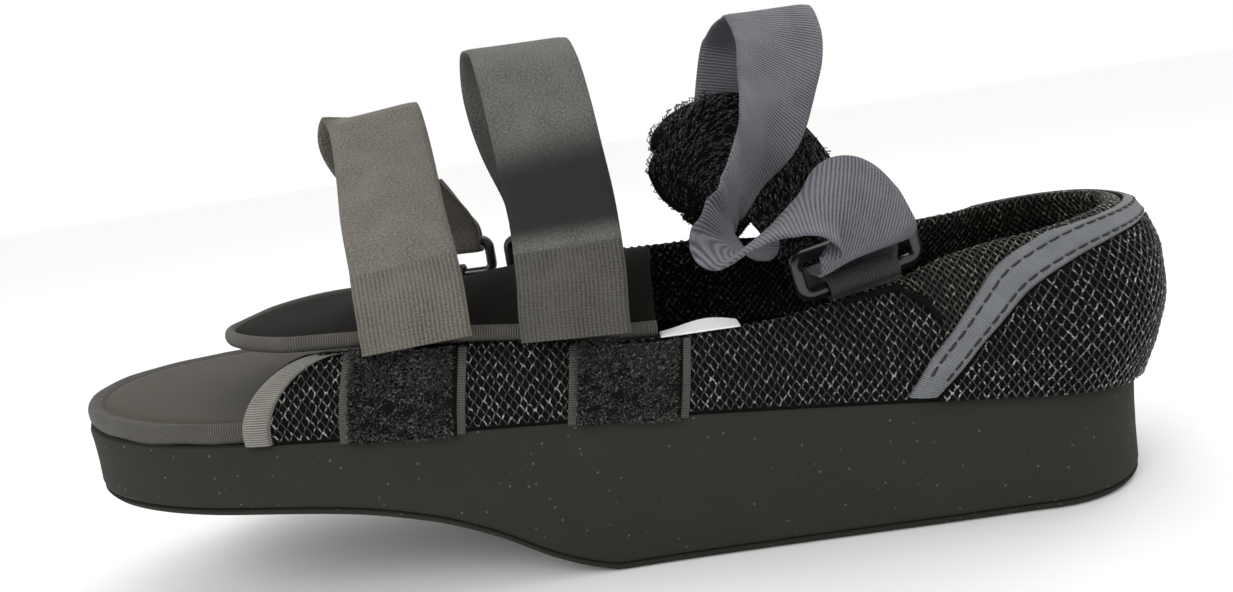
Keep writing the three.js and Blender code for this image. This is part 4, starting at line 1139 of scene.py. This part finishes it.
# %% Webbing and hook tape
# How far the painted shadow's two ends fade before and after their places, in mm
PAINTED_SHADOW_FADE = ((-2, 4), (-9, 5))
PAINTED_SHADOW_DEPTH = 0.94
# The middle strap's webbing has a painted shadow across it, a near-black band from 5 to 31 mm along its
# length
MIDDLE_PAINTED_SHADOW = (5, 31, "#030302")


def with_painted_shadow(look, colour, start, end, shade):
    """A colour with a painted shadow: darker over a span of the strap's length in mm, with soft ends."""
    length = look.node("SeparateXYZ", {0: look.place}).outputs[0]
    (before, after), (fades, gone) = PAINTED_SHADOW_FADE
    begins = look.remap(length, start + before, start + after, interpolation_type="SMOOTHSTEP")
    ends = look.remap(length, end + fades, end + gone, PAINTED_SHADOW_DEPTH, 0, interpolation_type="SMOOTHSTEP")
    return look.mix(look.maths("MULTIPLY", begins, ends), colour, shade)


def make_weave(name, dark, light, weft, warp, ribs_down, grain, painted_shadow=None):
    """Woven or knitted tape: weft is the pitch along the strap, warp the pitch across it, and the last
    argument an optional painted shadow.
    """
    look = Look(name, on_lay=True, Roughness=0.75, Specular_IOR_Level=0.35, Sheen_Weight=0.08)
    rows = look.ribs(weft, distortion=1.2, detail=1.5)
    ends = look.ribs(warp, distortion=0.8, detail=1.5, direction="Y")
    noise = look.noise(1.6, 4, Roughness=0.7)
    cloud = look.noise(0.09, 3)
    main, fine = (ends, rows) if ribs_down else (rows, ends)
    relief = look.maths("MULTIPLY", main, look.maths("MULTIPLY_ADD", fine, 0.55, 0.45))
    lit = look.node("Mix", {0: grain, 2: relief, 3: look.remap(noise, 0.3, 0.7)}).outputs[0]
    dust_and_painted_shadow = look.mix(look.remap(cloud, 0.35, 0.75, 0, 0.3), look.mix(lit, dark, light), light)
    # Paints a shadow over a span of the strap, if one is given
    if painted_shadow:
        dust_and_painted_shadow = with_painted_shadow(look, dust_and_painted_shadow, *painted_shadow)
    return look.finish(dust_and_painted_shadow, lit, depth=0.3, strength=0.7)


front_webbing = make_weave("nylon_webbing_front", "#1d1b18", "#857f75", 0.6, 0.5, False, 0.8)
middle_webbing = make_weave("nylon_webbing_middle", "#0e0e0c", "#74746f", 0.6, 0.5, False, 0.8, MIDDLE_PAINTED_SHADOW)
ankle_webbing = make_weave("nylon_webbing_ankle", "#020203", "#85878f", 0.82, 0.5, False, 0.22)
hook_front = make_weave("hook_tape_front", "#11100e", "#7b776c", 0.75, 1.07, True, 0.5)
hook_middle = make_weave("hook_tape_middle", "#060605", "#605d56", 0.75, 1.07, True, 0.5)

# %% [markdown]
# Every strap is one flat band along a listed way. A row of its table has the band's middle,
# in shares of the webbing's width or of the span between the strap's foot and its ring, and
# the direction of its width. The middles lie on a smooth curve through the rows, and the
# directions on a softer one near them, so the band twists evenly.

# %% Bands along a way
WEB_WIDTH, WEB_THICKNESS, HOOK_THICKNESS = 27, 1.3, 1.5
RING_WIRE, RING_GAP = 3.4, 7
TAB_THICKNESS, TAB_REACH = 1.1, 14
TAB_SEAT = 0.65
TAB_HOLE = RING_WIRE / 2 + 0.22 + CLEARANCE
RING_STAND = TAB_SEAT + TAB_THICKNESS + TAB_HOLE
BAR_DROP = RING_GAP + RING_WIRE
LEG_LEVEL = 0.92


def ring_beside(station, side, inside, rise, level, tilt, tab, lean=0.0):
    """A ring's place: its top bar's rise over the wall's edge, its level there, its tab's width."""
    def wall_y(place, height):
        turn = side * turn_at(to_x(place))
        out = -wall_depth(turn, height) - RING_STAND if inside else RING_STAND
        return float(wall_point(turn, height, out)[1])

    turn = side * turn_at(to_x(station))
    width = tab * WEB_WIDTH
    swing = wall_y(station + width / 2, level * LEG_LEVEL) - wall_y(station - width / 2, level * LEG_LEVEL)
    return {"s": station, "side": side, "inside": inside, "tilt": tilt, "turn": turn, "tab": width,
            "turned": math.atan(swing / width), "y": wall_y(station, level),
            "top": wall_point(turn, 1, 0)[2] + rise * WEB_WIDTH, "lean": lean}


RINGS = {
    "front": ring_beside(197, -1, False, 0.5, 0.94, 0, 0.44, lean=0.5),
    "middle": ring_beside(159, -1, False, 0.315, 0.86, 0, 0.6),
    "ankle": ring_beside(75, 1, True, 0.485, 0.95, 0.17, 0.7),
}


# Above the bar in shares of the webbing's width, round it in shares of the wrap's radius
LAP_ABOVE = [(1, 0.22, 0.555), (1, 0.045, 0.2), (-1, 0.052, 0.167), (1, 0.022, 0.37), (1, 0.17, 0.667)]
LAP_AROUND = [(1, 0), (0.8, -0.8), (0, -1.05), (-0.8, -0.8), (-1, 0)]


def wrap_rows(ring):
    """The strap's way down to its ring, round the top bar and back up in a short lap."""
    wrap = RING_WIRE / 2 + CLEARANCE * 1.2 + WEB_THICKNESS / 2
    above = [(from_bar * wrap + a * WEB_WIDTH, up * WEB_WIDTH) for from_bar, a, up in LAP_ABOVE]
    lap = above[:2] + [(a * wrap, up * wrap) for a, up in LAP_AROUND] + above[2:]
    width = (-math.cos(ring["turned"]), -math.sin(ring["turned"]), 0)
    return [(ring["s"] + ring["lean"] * max(up - 2 * wrap, 0), ring["y"] - ring["side"] * inwards,
             ring["top"] + up, *width) for inwards, up in lap]


def span_rows(station, ring, rows):
    """Rows between a strap's foot on the left wall's edge and its ring on the right."""
    foot = wall_point(turn_at(to_x(station)), 1, 0)
    return [(station + a * WEB_WIDTH, foot[1] + (ring["y"] - foot[1]) * across,
             foot[2] + rise * WEB_WIDTH, *width) for a, across, rise, *width in rows]


def held_rows(hold_y, width, rows):
    """Rows from the ankle ring's station and top bar; hold is the share of the holding place's y."""
    ring = RINGS["ankle"]
    return [(ring["s"] + a * width, hold * hold_y + across * width, ring["top"] + rise * width, *way)
            for a, across, rise, hold, *way in rows]


def spline(points, t, weights):
    """A uniform cubic spline over rows of points; weights are its basis for four neighbours."""
    points = np.asarray(points, float)
    ends = np.concatenate([[2 * points[0] - points[1]], points, [2 * points[-1] - points[-2]]])
    at = np.clip(t, 0, 1) * (len(points) - 1)
    k = np.minimum(at.astype(int), len(points) - 2)
    u = (at - k)[:, None]
    basis = np.concatenate([u ** 0, u, u ** 2, u ** 3], axis=1) @ weights
    return sum(basis[:, i:i + 1] * ends[k + i] for i in range(4))


THROUGH = np.array([[0, 2, 0, 0], [-1, 0, 1, 0], [2, -5, 4, -1], [-1, 3, -3, 1]]) / 2
NEAR = np.array([[1, 4, 1, 0], [-3, 0, 3, 0], [3, -6, 3, 0], [-1, 3, -3, 1]]) / 6


def band(rows, width, thickness, steps, start=0.0, end=1.0, columns=13, shape=None, move=None):
    """Outer and inner grids of a band and its lay."""
    rows = np.array(rows, float)
    middle_rows = rows[:, :3] + (HEEL_X, 0, 0)
    t = np.linspace(start, end, steps + 1)
    middle = spline(middle_rows, t, THROUGH)
    way = unit(spline(middle_rows, t + 1e-3, THROUGH) - spline(middle_rows, t - 1e-3, THROUGH))
    across = spline(rows[:, 3:], t, NEAR)
    across = unit(across - way * (across * way).sum(1, keepdims=True))
    normal = np.cross(way, across)
    arc = run_length(middle)
    side = np.linspace(-1, 1, columns)
    side = np.sign(side) * np.abs(side) ** 0.8
    grid = middle[:, None] + across[:, None] * side[None, :, None] * width / 2
    lift = np.zeros(grid.shape[:2]) if shape is None else shape(arc[:, None], side[None, :])
    grid = grid + normal[:, None] * lift[..., None]
    half = thickness / 2 * (1 - 0.5 * np.abs(side) ** 12)[None, :, None]
    lay = stack(arc[:, None], side * width / 2, 0)
    faces = grid + normal[:, None] * half, grid - normal[:, None] * half
    return *(face if move is None else move(face, t, side) for face in faces), lay


def ripple(depth, seed):
    """Soft waves of a used strap: a long sway, a small buckle and a slight cup across."""
    def shape(arc, side):
        sway = np.sin(arc / 9 + seed) * 0.5 + np.sin(arc / 4.3 + 2 * seed + side) * 0.25
        return depth * (sway + 0.6 * side ** 2 * np.cos(arc / 13 + seed))
    return shape


# %% [markdown]
# The front strap stands like a tent from its hook tab on the left patch to a sharp fold, the
# middle one is a round loop. Both run down to a ring on the right and a short way back up.

# %% Front and middle straps
FRONT_STATION, MIDDLE_STATION = 189, 148
FRONT_STRAP = span_rows(FRONT_STATION, RINGS["front"], [
    (-0.14, -0.08, 0.04, -1, 0, -0.06), (-0.13, -0.065, 0.22, -1, 0, -0.07),
    (-0.1, -0.02, 0.45, -1, 0, -0.08), (-0.02, 0.07, 0.73, -1, 0, -0.11),
    (0.11, 0.2, 1.14, -1, 0, -0.12), (0.26, 0.38, 1.58, -1, -0.15, -0.06),
    (0.4, 0.53, 2.0, -1, -0.3, 0.06), (0.48, 0.59, 2.2, -1, -0.35, 0.12),
    (0.58, 0.65, 2.2, -1, -0.32, 0.12), (0.74, 0.71, 1.95, -1, -0.2, 0.08),
    (0.66, 0.8, 1.55, -1, -0.08, 0.03),
]) + wrap_rows(RINGS["front"])
MIDDLE_STRAP = span_rows(MIDDLE_STATION, RINGS["middle"], [
    (-0.02, -0.08, 0.09, -1, 0, -0.03), (-0.03, -0.07, 0.33, -1, 0, -0.05),
    (-0.05, -0.04, 0.6, -1, 0, -0.08), (-0.05, 0.0, 0.9, -1, 0, -0.1),
    (-0.03, 0.06, 1.29, -1, 0, -0.12), (0.02, 0.12, 1.73, -1, 0, -0.12),
    (0.07, 0.18, 2.16, -1, 0, -0.1), (0.15, 0.28, 2.59, -1, 0, -0.06),
    (0.27, 0.44, 2.85, -1, -0.02, -0.02), (0.45, 0.61, 2.81, -1, -0.04, 0.02),
    (0.56, 0.73, 2.42, -1, -0.04, 0.04), (0.52, 0.8, 1.88, -1, -0.02, 0),
]) + wrap_rows(RINGS["middle"])
SEAM_ROW, SEAM_LAP = 3, 0.012
SEAM_LINES = ((-0.006, 0.35), (0.004, 0.3))
SEAM_STITCHES, STITCH_POINTS = 12, 5
STRAP_RIPPLE = 0.3


def strap(name, rows, webbing, hook, seed):
    """Hook tab, webbing and the two lines of stitches where the webbing is sewn over the tab."""
    seam = SEAM_ROW / (len(rows) - 1)
    waves = ripple(STRAP_RIPPLE, seed)
    tab = band(rows, WEB_WIDTH, HOOK_THICKNESS, 60, 0, seam - 0.002, shape=waves)
    sheet_piece("hook_tab_" + name + "_tape", hook, "hook_tape", "hook_tab_" + name, *tab)
    outer, inner, lay = band(rows, WEB_WIDTH, WEB_THICKNESS, 320, seam - SEAM_LAP, 1, shape=waves)
    webbed = sheet_piece("webbing_" + name, webbing, "webbing", "strap_" + name, outer, inner, lay)

    seams = Soup()
    for offset, bulge in SEAM_LINES:
        start = seam + offset
        outer, inner, _ = band(rows, WEB_WIDTH - 1, 1.8, 1, start, start + 0.001,
                               columns=SEAM_STITCHES * STITCH_POINTS + 1, shape=waves)
        line, ups = (part[:-1].reshape(SEAM_STITCHES, STITCH_POINTS, 3)
                     for part in (outer[0], unit(outer[0] - inner[0])))
        tubes(seams, line, ups, bulge, 0.25, sides=5)
    seams.build("seam_stitches_" + name, webbing, "webbing")


strap("front", FRONT_STRAP, front_webbing, hook_front, 0.4)
strap("middle", MIDDLE_STRAP, middle_webbing, hook_middle, 1.7)

# %% [markdown]
# The ankle strap goes through the left ring, curls outwards, turns over on its edge and climbs
# to a fold, and its end hangs behind the pile band. A twist like this can't be bent from a
# flat band by a modifier without a guide curve for its width, so the width is in the table.

# %% Ankle strap
ANKLE_STRAP = held_rows(RINGS["ankle"]["y"], WEB_WIDTH, [
    (0, -0.43, -0.47, 1, -1, -0.1, 0.18), (0, -0.28, -0.23, 1, -1, -0.12, 0.18),
    (0, 0, -0.14, 1, -1, -0.15, 0.18), (0, 0.29, -0.11, 1, -0.98, -0.17, 0.18),
    (0, 0.54, -0.02, 1, -0.93, -0.27, 0.25), (0.07, 0.68, 0.19, 1, -0.84, -0.38, 0.42),
    (0.2, 0.85, 0.38, 0.9, -0.7, -0.47, 0.53), (0.41, 0.87, 0.42, 0.9, -0.52, -0.67, 0.45),
    (0.66, 0.92, 0.35, 0.8, -0.37, -0.88, 0.24), (0.91, 0.85, 0.23, 0.8, -0.34, -0.93, 0.06),
    (1.1, 0.81, 0.11, 0.7, -0.33, -0.94, 0.02), (1.19, 0.74, 0.17, 0.6, -0.33, -0.94, 0),
    (1.2, 0.7, 0.34, 0.5, -0.3, -0.95, 0), (1.14, 0.61, 0.49, 0.5, -0.32, -0.95, -0.02),
    (1.06, 0.61, 0.62, 0.4, -0.35, -0.93, -0.07), (0.93, 0.46, 0.78, 0.4, -0.44, -0.89, -0.1),
    (0.73, 0.39, 1.04, 0.3, -0.6, -0.8, -0.09), (0.57, 0.3, 1.3, 0.2, -0.71, -0.69, -0.14),
    (0.46, 0.2, 1.6, 0.1, -0.78, -0.6, -0.17), (0.38, 0.11, 1.88, 0, -0.87, -0.45, -0.16),
    (0.36, -0.09, 2.12, 0, -0.93, -0.32, -0.1), (0.4, -0.31, 2.3, 0, -0.92, -0.36, 0.02),
    (0.51, -0.54, 2.25, 0, -0.93, -0.3, 0.1), (0.59, -0.69, 2.04, 0, -0.97, -0.15, 0.1),
    (0.67, -0.71, 1.77, 0, -1, 0, 0.06), (0.76, -0.7, 1.38, 0, -1, 0, 0),
    (0.83, -0.68, 0.97, 0, -1, 0, 0),
])
CURL_START, CURL_END = 0.1, 0.42
RIB_LEAN = 0.17


def sheared(points, lay):
    """The strap's lay with its ribs kept upright through the curl, where the cloth shears."""
    t = np.linspace(0, 1, len(points))
    inside = smooth(CURL_START, CURL_START + 0.05, t) * (1 - smooth(CURL_END - 0.06, CURL_END, t))
    ahead = points @ (RIB_LEAN * np.array(view_up) - np.array(view_right))
    settle = np.searchsorted(t, CURL_END - 0.03)
    middle = points.shape[1] // 2
    ahead += lay[settle, middle, 0] - ahead[settle, middle]
    lay = lay.copy()
    lay[..., 0] += inside[:, None] * (ahead - lay[..., 0])
    return lay


outer, inner, lay = band(ANKLE_STRAP, WEB_WIDTH, WEB_THICKNESS, 420, shape=ripple(STRAP_RIPPLE / 2, 0.9))
webbed = sheet_piece("webbing_ankle", ankle_webbing, "webbing_ankle", "strap_ankle",
                     outer, inner, sheared(outer, lay))
print("flat length of webbing ankle", lay[-1, 0, 0].round(1), "mm")

# %% [markdown]
# The pile band is a strip of loop cloth, napped on both faces. It comes out of the far collar,
# leans forward and is folded back on itself behind the ankle strap. At the fold the cloth gives
# way in the middle, so its end looks like a mitten: a table pulls each place across it back.

# %% Pile band
BAND_WIDTH, BAND_THICKNESS = 31, 2
BAND_FROM_HEEL, BAND_LEVEL = 62, 0.7
BAND_LOOPS_MM2 = 0.9
band_turn = -turn_at(to_x(BAND_FROM_HEEL))
band_hold = wall_point(band_turn, BAND_LEVEL, -wall_depth(band_turn, BAND_LEVEL))[1]
ANKLE_BAND = held_rows(band_hold, BAND_WIDTH, [
    (-0.42, 0.15, -0.66, 1, -0.35, 0.33, 0.88), (-0.24, 0.19, -0.46, 1, -0.42, 0.22, 0.88),
    (-0.06, 0.13, -0.27, 0.8, -0.55, 0.05, 0.83), (0.11, 0.02, -0.01, 0.5, -0.68, -0.18, 0.7),
    (0.27, 0.02, 0.3, 0.3, -0.72, -0.3, 0.62), (0.45, -0.06, 0.57, 0.1, -0.68, -0.22, 0.68),
    (0.68, -0.11, 0.8, 0, -0.5, -0.12, 0.85), (0.97, -0.13, 0.86, 0, -0.2, -0.1, 0.97),
    (1.31, -0.19, 0.84, 0, -0.05, -0.08, 1), (1.57, -0.34, 0.81, 0, -0.05, -0.04, 1),
    (1.37, -0.46, 0.75, 0, -0.25, 0, 0.97), (1.1, -0.51, 0.67, 0, -0.5, 0, 0.87),
    (0.84, -0.52, 0.44, 0, -0.6, 0, 0.8), (0.61, -0.52, 0.2, 0, -0.62, 0, 0.78),
])
FOLD_ROW = 9
FOLD = table("at pull", [
    (-1, 9.3), (-0.94, 8.4), (-0.7, 4.5), (-0.45, 1.9), (-0.13, 0), (0.05, 0.6), (0.17, 2),
    (0.3, 1.2), (0.5, 2.2), (0.75, 5.9), (0.95, 11.8), (1, 14.3),
])


def mitten(points, t, side):
    """Pulls the band's folded end back into two lobes with a notch between them."""
    near_fold = 1 - smooth(0.6, 2.2, np.abs(t * (len(ANKLE_BAND) - 1) - FOLD_ROW))
    points[..., 0] -= near_fold[:, None] * along(FOLD, "pull", side)[None, :]
    return points


outer, inner, lay = band(ANKLE_BAND, BAND_WIDTH, BAND_THICKNESS, 200, columns=41, move=mitten)
ground = sheet_piece("pile_band_ground", pile_ground, "loop_pile", "ankle_band", outer, inner, lay)
band_length = lay[-1, 0, 0]
print("flat length of pile band", band_length.round(1), "mm")
napped = (0.5, band_length - 0.5), (-BAND_WIDTH / 2 + 0.3, BAND_WIDTH / 2 - 0.3)
for face, grid, outward, seed in (("front", outer, 1, 21), ("back", inner, -1, 22)):
    place = surface(grid, lay[:, 0, 0], lay[0, :, 1])
    loops = Soup()
    lay_pile(loops, place, *scatter(*napped, BAND_LOOPS_MM2, seed), outward, seed, lean=2.1, wire=0.14)
    loops.build("pile_band_loops_" + face, pile_yarn, "loop_pile")

# %% [markdown]
# Rings are injection moulded from black acetal: a round wire bent to a rectangle, glossy, with
# soft reflections. One tube swept round a rounded rectangle gives them.

# %% Rings
look = Look("black_acetal", Roughness=0.28, Specular_IOR_Level=0.55, Coat_Weight=0.3)
acetal = look.finish(look.mix(look.noise(0.5, 5), "#08080a", "#1d1e21"))
RING_INNER, RING_CORNER, RING_SIDES = WEB_WIDTH + 1.4, 2.6, 16


def ring_path(width, height, corner, steps=12):
    """A rounded rectangle round the origin in the x and z plane, with its first point again."""
    parts = []
    for k, (x, z) in enumerate(((1, 1), (-1, 1), (-1, -1), (1, -1))):
        angle = np.linspace(0, np.pi / 2, steps) + k * np.pi / 2
        parts.append(stack(x * (width / 2 - corner) + corner * np.cos(angle), 0,
                           z * (height / 2 - corner) + corner * np.sin(angle)))
    path = np.concatenate(parts)
    return np.concatenate([path, path[:1]])


def on_ring(points, ring):
    """Points in a ring's own frame moved to its place, tilted and turned with the wall."""
    c, s = math.cos(ring["tilt"]), math.sin(ring["tilt"])
    ahead = c * points[..., 0] + s * points[..., 2]
    height = c * points[..., 2] - s * points[..., 0]
    c, s = math.cos(ring["turned"]), math.sin(ring["turned"])
    return stack(c * ahead - s * points[..., 1] + to_x(ring["s"]),
                 s * ahead + c * points[..., 1] + ring["y"],
                 height + ring["top"] - BAR_DROP / 2)


def ring_wire():
    """Points and faces of the wire, round the origin."""
    path = ring_path(RING_INNER + RING_WIRE, RING_GAP + RING_WIRE, RING_CORNER)
    closed = np.concatenate([path[-2:-1], path, path[1:2]])
    depth = np.array((0, 1, 0))
    across = np.cross(unit(closed[2:] - closed[:-2]), depth)[:-1, None]
    angle = np.linspace(0, 2 * np.pi, RING_SIDES, endpoint=False)[None, :, None]
    section = path[:-1, None] + (across * np.cos(angle) + depth * np.sin(angle)) * RING_WIRE / 2
    faces = grid_faces(len(section) + 1, RING_SIDES, closed=True) % (len(section) * RING_SIDES)
    return section, faces


for name, ring in RINGS.items():
    section, faces = ring_wire()
    soup = Soup()
    soup.add(on_ring(section, ring), [faces])
    soup.build("ring_wire_" + name, acetal, "ring", "ring_" + name)

# %% [markdown]
# A ring is held by a short tab of folded tape that is sewn to the wall and wraps the ring's
# lower bar. The tape's way is drawn in one plane, as a drop with its two legs sewn together,
# and is given a thickness and the tab's width.

# %% Ring tabs
tab_tape = make_weave("tab_tape", "#141414", "#4c4a46", 0.7, 0.9, True, 0.4)
TAB_LEGS = (0.34, 0.55, 0.78, 1)
TAB_TURN = (-50, 222)


def ring_tab(name, ring):
    """A tape up from the wall, round the ring's lower bar and down again, its two legs together."""
    bar_z = ring["top"] - BAR_DROP
    outwards = -ring["side"] if ring["inside"] else ring["side"]
    foot_z = wall_point(ring["turn"], 0, 0)[2]

    def leg(share, away):
        level = (bar_z - share * TAB_REACH - foot_z) / top_height(ring["turn"])
        out = -wall_depth(ring["turn"], level) - away if ring["inside"] else away
        point = wall_point(ring["turn"], level, out)
        return point[1] - ring["y"], point[2] - bar_z

    reach = TAB_HOLE + TAB_THICKNESS / 2
    angle = np.radians(np.linspace(*TAB_TURN, 20))
    arc = np.stack([outwards * reach * np.cos(angle), reach * np.sin(angle)], -1)
    far = [leg(share, TAB_SEAT + TAB_THICKNESS * 1.5) for share in reversed(TAB_LEGS)]
    near = [leg(share, TAB_SEAT + TAB_THICKNESS / 2) for share in TAB_LEGS]
    way = spline(np.concatenate([far, arc, near]), np.linspace(0, 1, 61), THROUGH)
    side = unit(np.gradient(way, axis=0)) @ np.array([[0, 1], [-1, 0]]) * outwards
    x = np.linspace(-1, 1, 25) * ring["tab"] / 2

    def face(share):
        line = way + side * share * TAB_THICKNESS * 0.49
        return on_ring(stack(x, line[:, :1], line[:, 1:] - BAR_DROP / 2), ring)

    lay = stack(run_length(way)[:, None], x, 0)
    sheet_piece("tab_fold_" + name, tab_tape, "tab", "ring_tab_" + name, face(1), face(-1), lay)


for name, ring in RINGS.items():
    ring_tab(name, ring)

# %% [markdown]
# The white tag is a folded satin label with nothing on it. It curls a little where it leaves
# the seam.

# %% Blank tag
look = Look("white_satin", on_lay=True, Roughness=0.5, Sheen_Weight=0.2)
satin = look.finish(look.mix(look.ribs(0.4), "#e2e2e0", "#f4f4f2"))
TAG_START, TAG_LENGTH, TAG_REACH = 107, 20, 8


def blank_tag():
    first = np.linspace(0, 1, 25)[:, None]
    second = np.linspace(0, 1, 13)[None, :]
    turn = turn_at(to_x(TAG_START + TAG_LENGTH * first))
    curl = 0.9 * np.sin(first * np.pi) * second + 0.5 * np.sin(first * 5) * second

    def face(lift):
        return wall_point(turn, 1, 1 - TAG_REACH * second) + stack(0, 0, CLEARANCE + lift + curl)

    lay = stack(first * TAG_LENGTH, second * TAG_REACH, 0)
    sheet_piece("satin_tag", satin, "tag", "blank_tag", face(0.5), face(0.1), lay)


blank_tag()

# %% [markdown]
# The photograph's ground is plain white with a soft light. A wide white disc and a white world
# give that, and three round lamps model the shoe: one in front, one above and one behind.

# %% Lights, floor and finish
FLOOR_RADIUS, FLOOR_CORNERS = 14.0, 96
around = np.linspace(0, 2 * np.pi, FLOOR_CORNERS, endpoint=False)
rim = stack(np.cos(around), np.sin(around), 0) * FLOOR_RADIUS
mesh = bpy.data.meshes.new("studio_floor")
mesh.from_pydata(rim, [], [list(range(FLOOR_CORNERS))])
mesh.materials.append(Look("studio_floor", colour="#fafaf9", Roughness=0.9).material)
floor = bpy.data.objects.new("studio_floor", mesh)
bpy.context.collection.objects.link(floor)

world = bpy.data.worlds.new("studio")
world.use_nodes = True
background = world.node_tree.nodes["Background"]
background.inputs["Color"].default_value = linear("#ffffff")
background.inputs["Strength"].default_value = 1.0
bpy.context.scene.world = world
bpy.context.scene.view_settings.view_transform = "Standard"

# Place in metres, diameter in metres and power in watts
LIGHTS = {
    "key_light": ((0.55, 0.75, 0.75), 0.5, 3),
    "top_light": ((-0.1, -0.2, 1.1), 0.8, 1.5),
    "rim_light": ((-0.7, -0.6, 0.6), 0.5, 1.5),
}
LIGHT_TARGET = Vector((0.06, 0, 0.05))
for name, (place, size, power) in LIGHTS.items():
    lamp = bpy.data.lights.new(name, "AREA")
    lamp.shape = "DISK"
    lamp.size = size
    lamp.energy = power
    light = bpy.data.objects.new(name, lamp)
    light.location = place
    light.rotation_euler = (LIGHT_TARGET - Vector(place)).to_track_quat("-Z", "Y").to_euler()
    bpy.context.collection.objects.link(light)
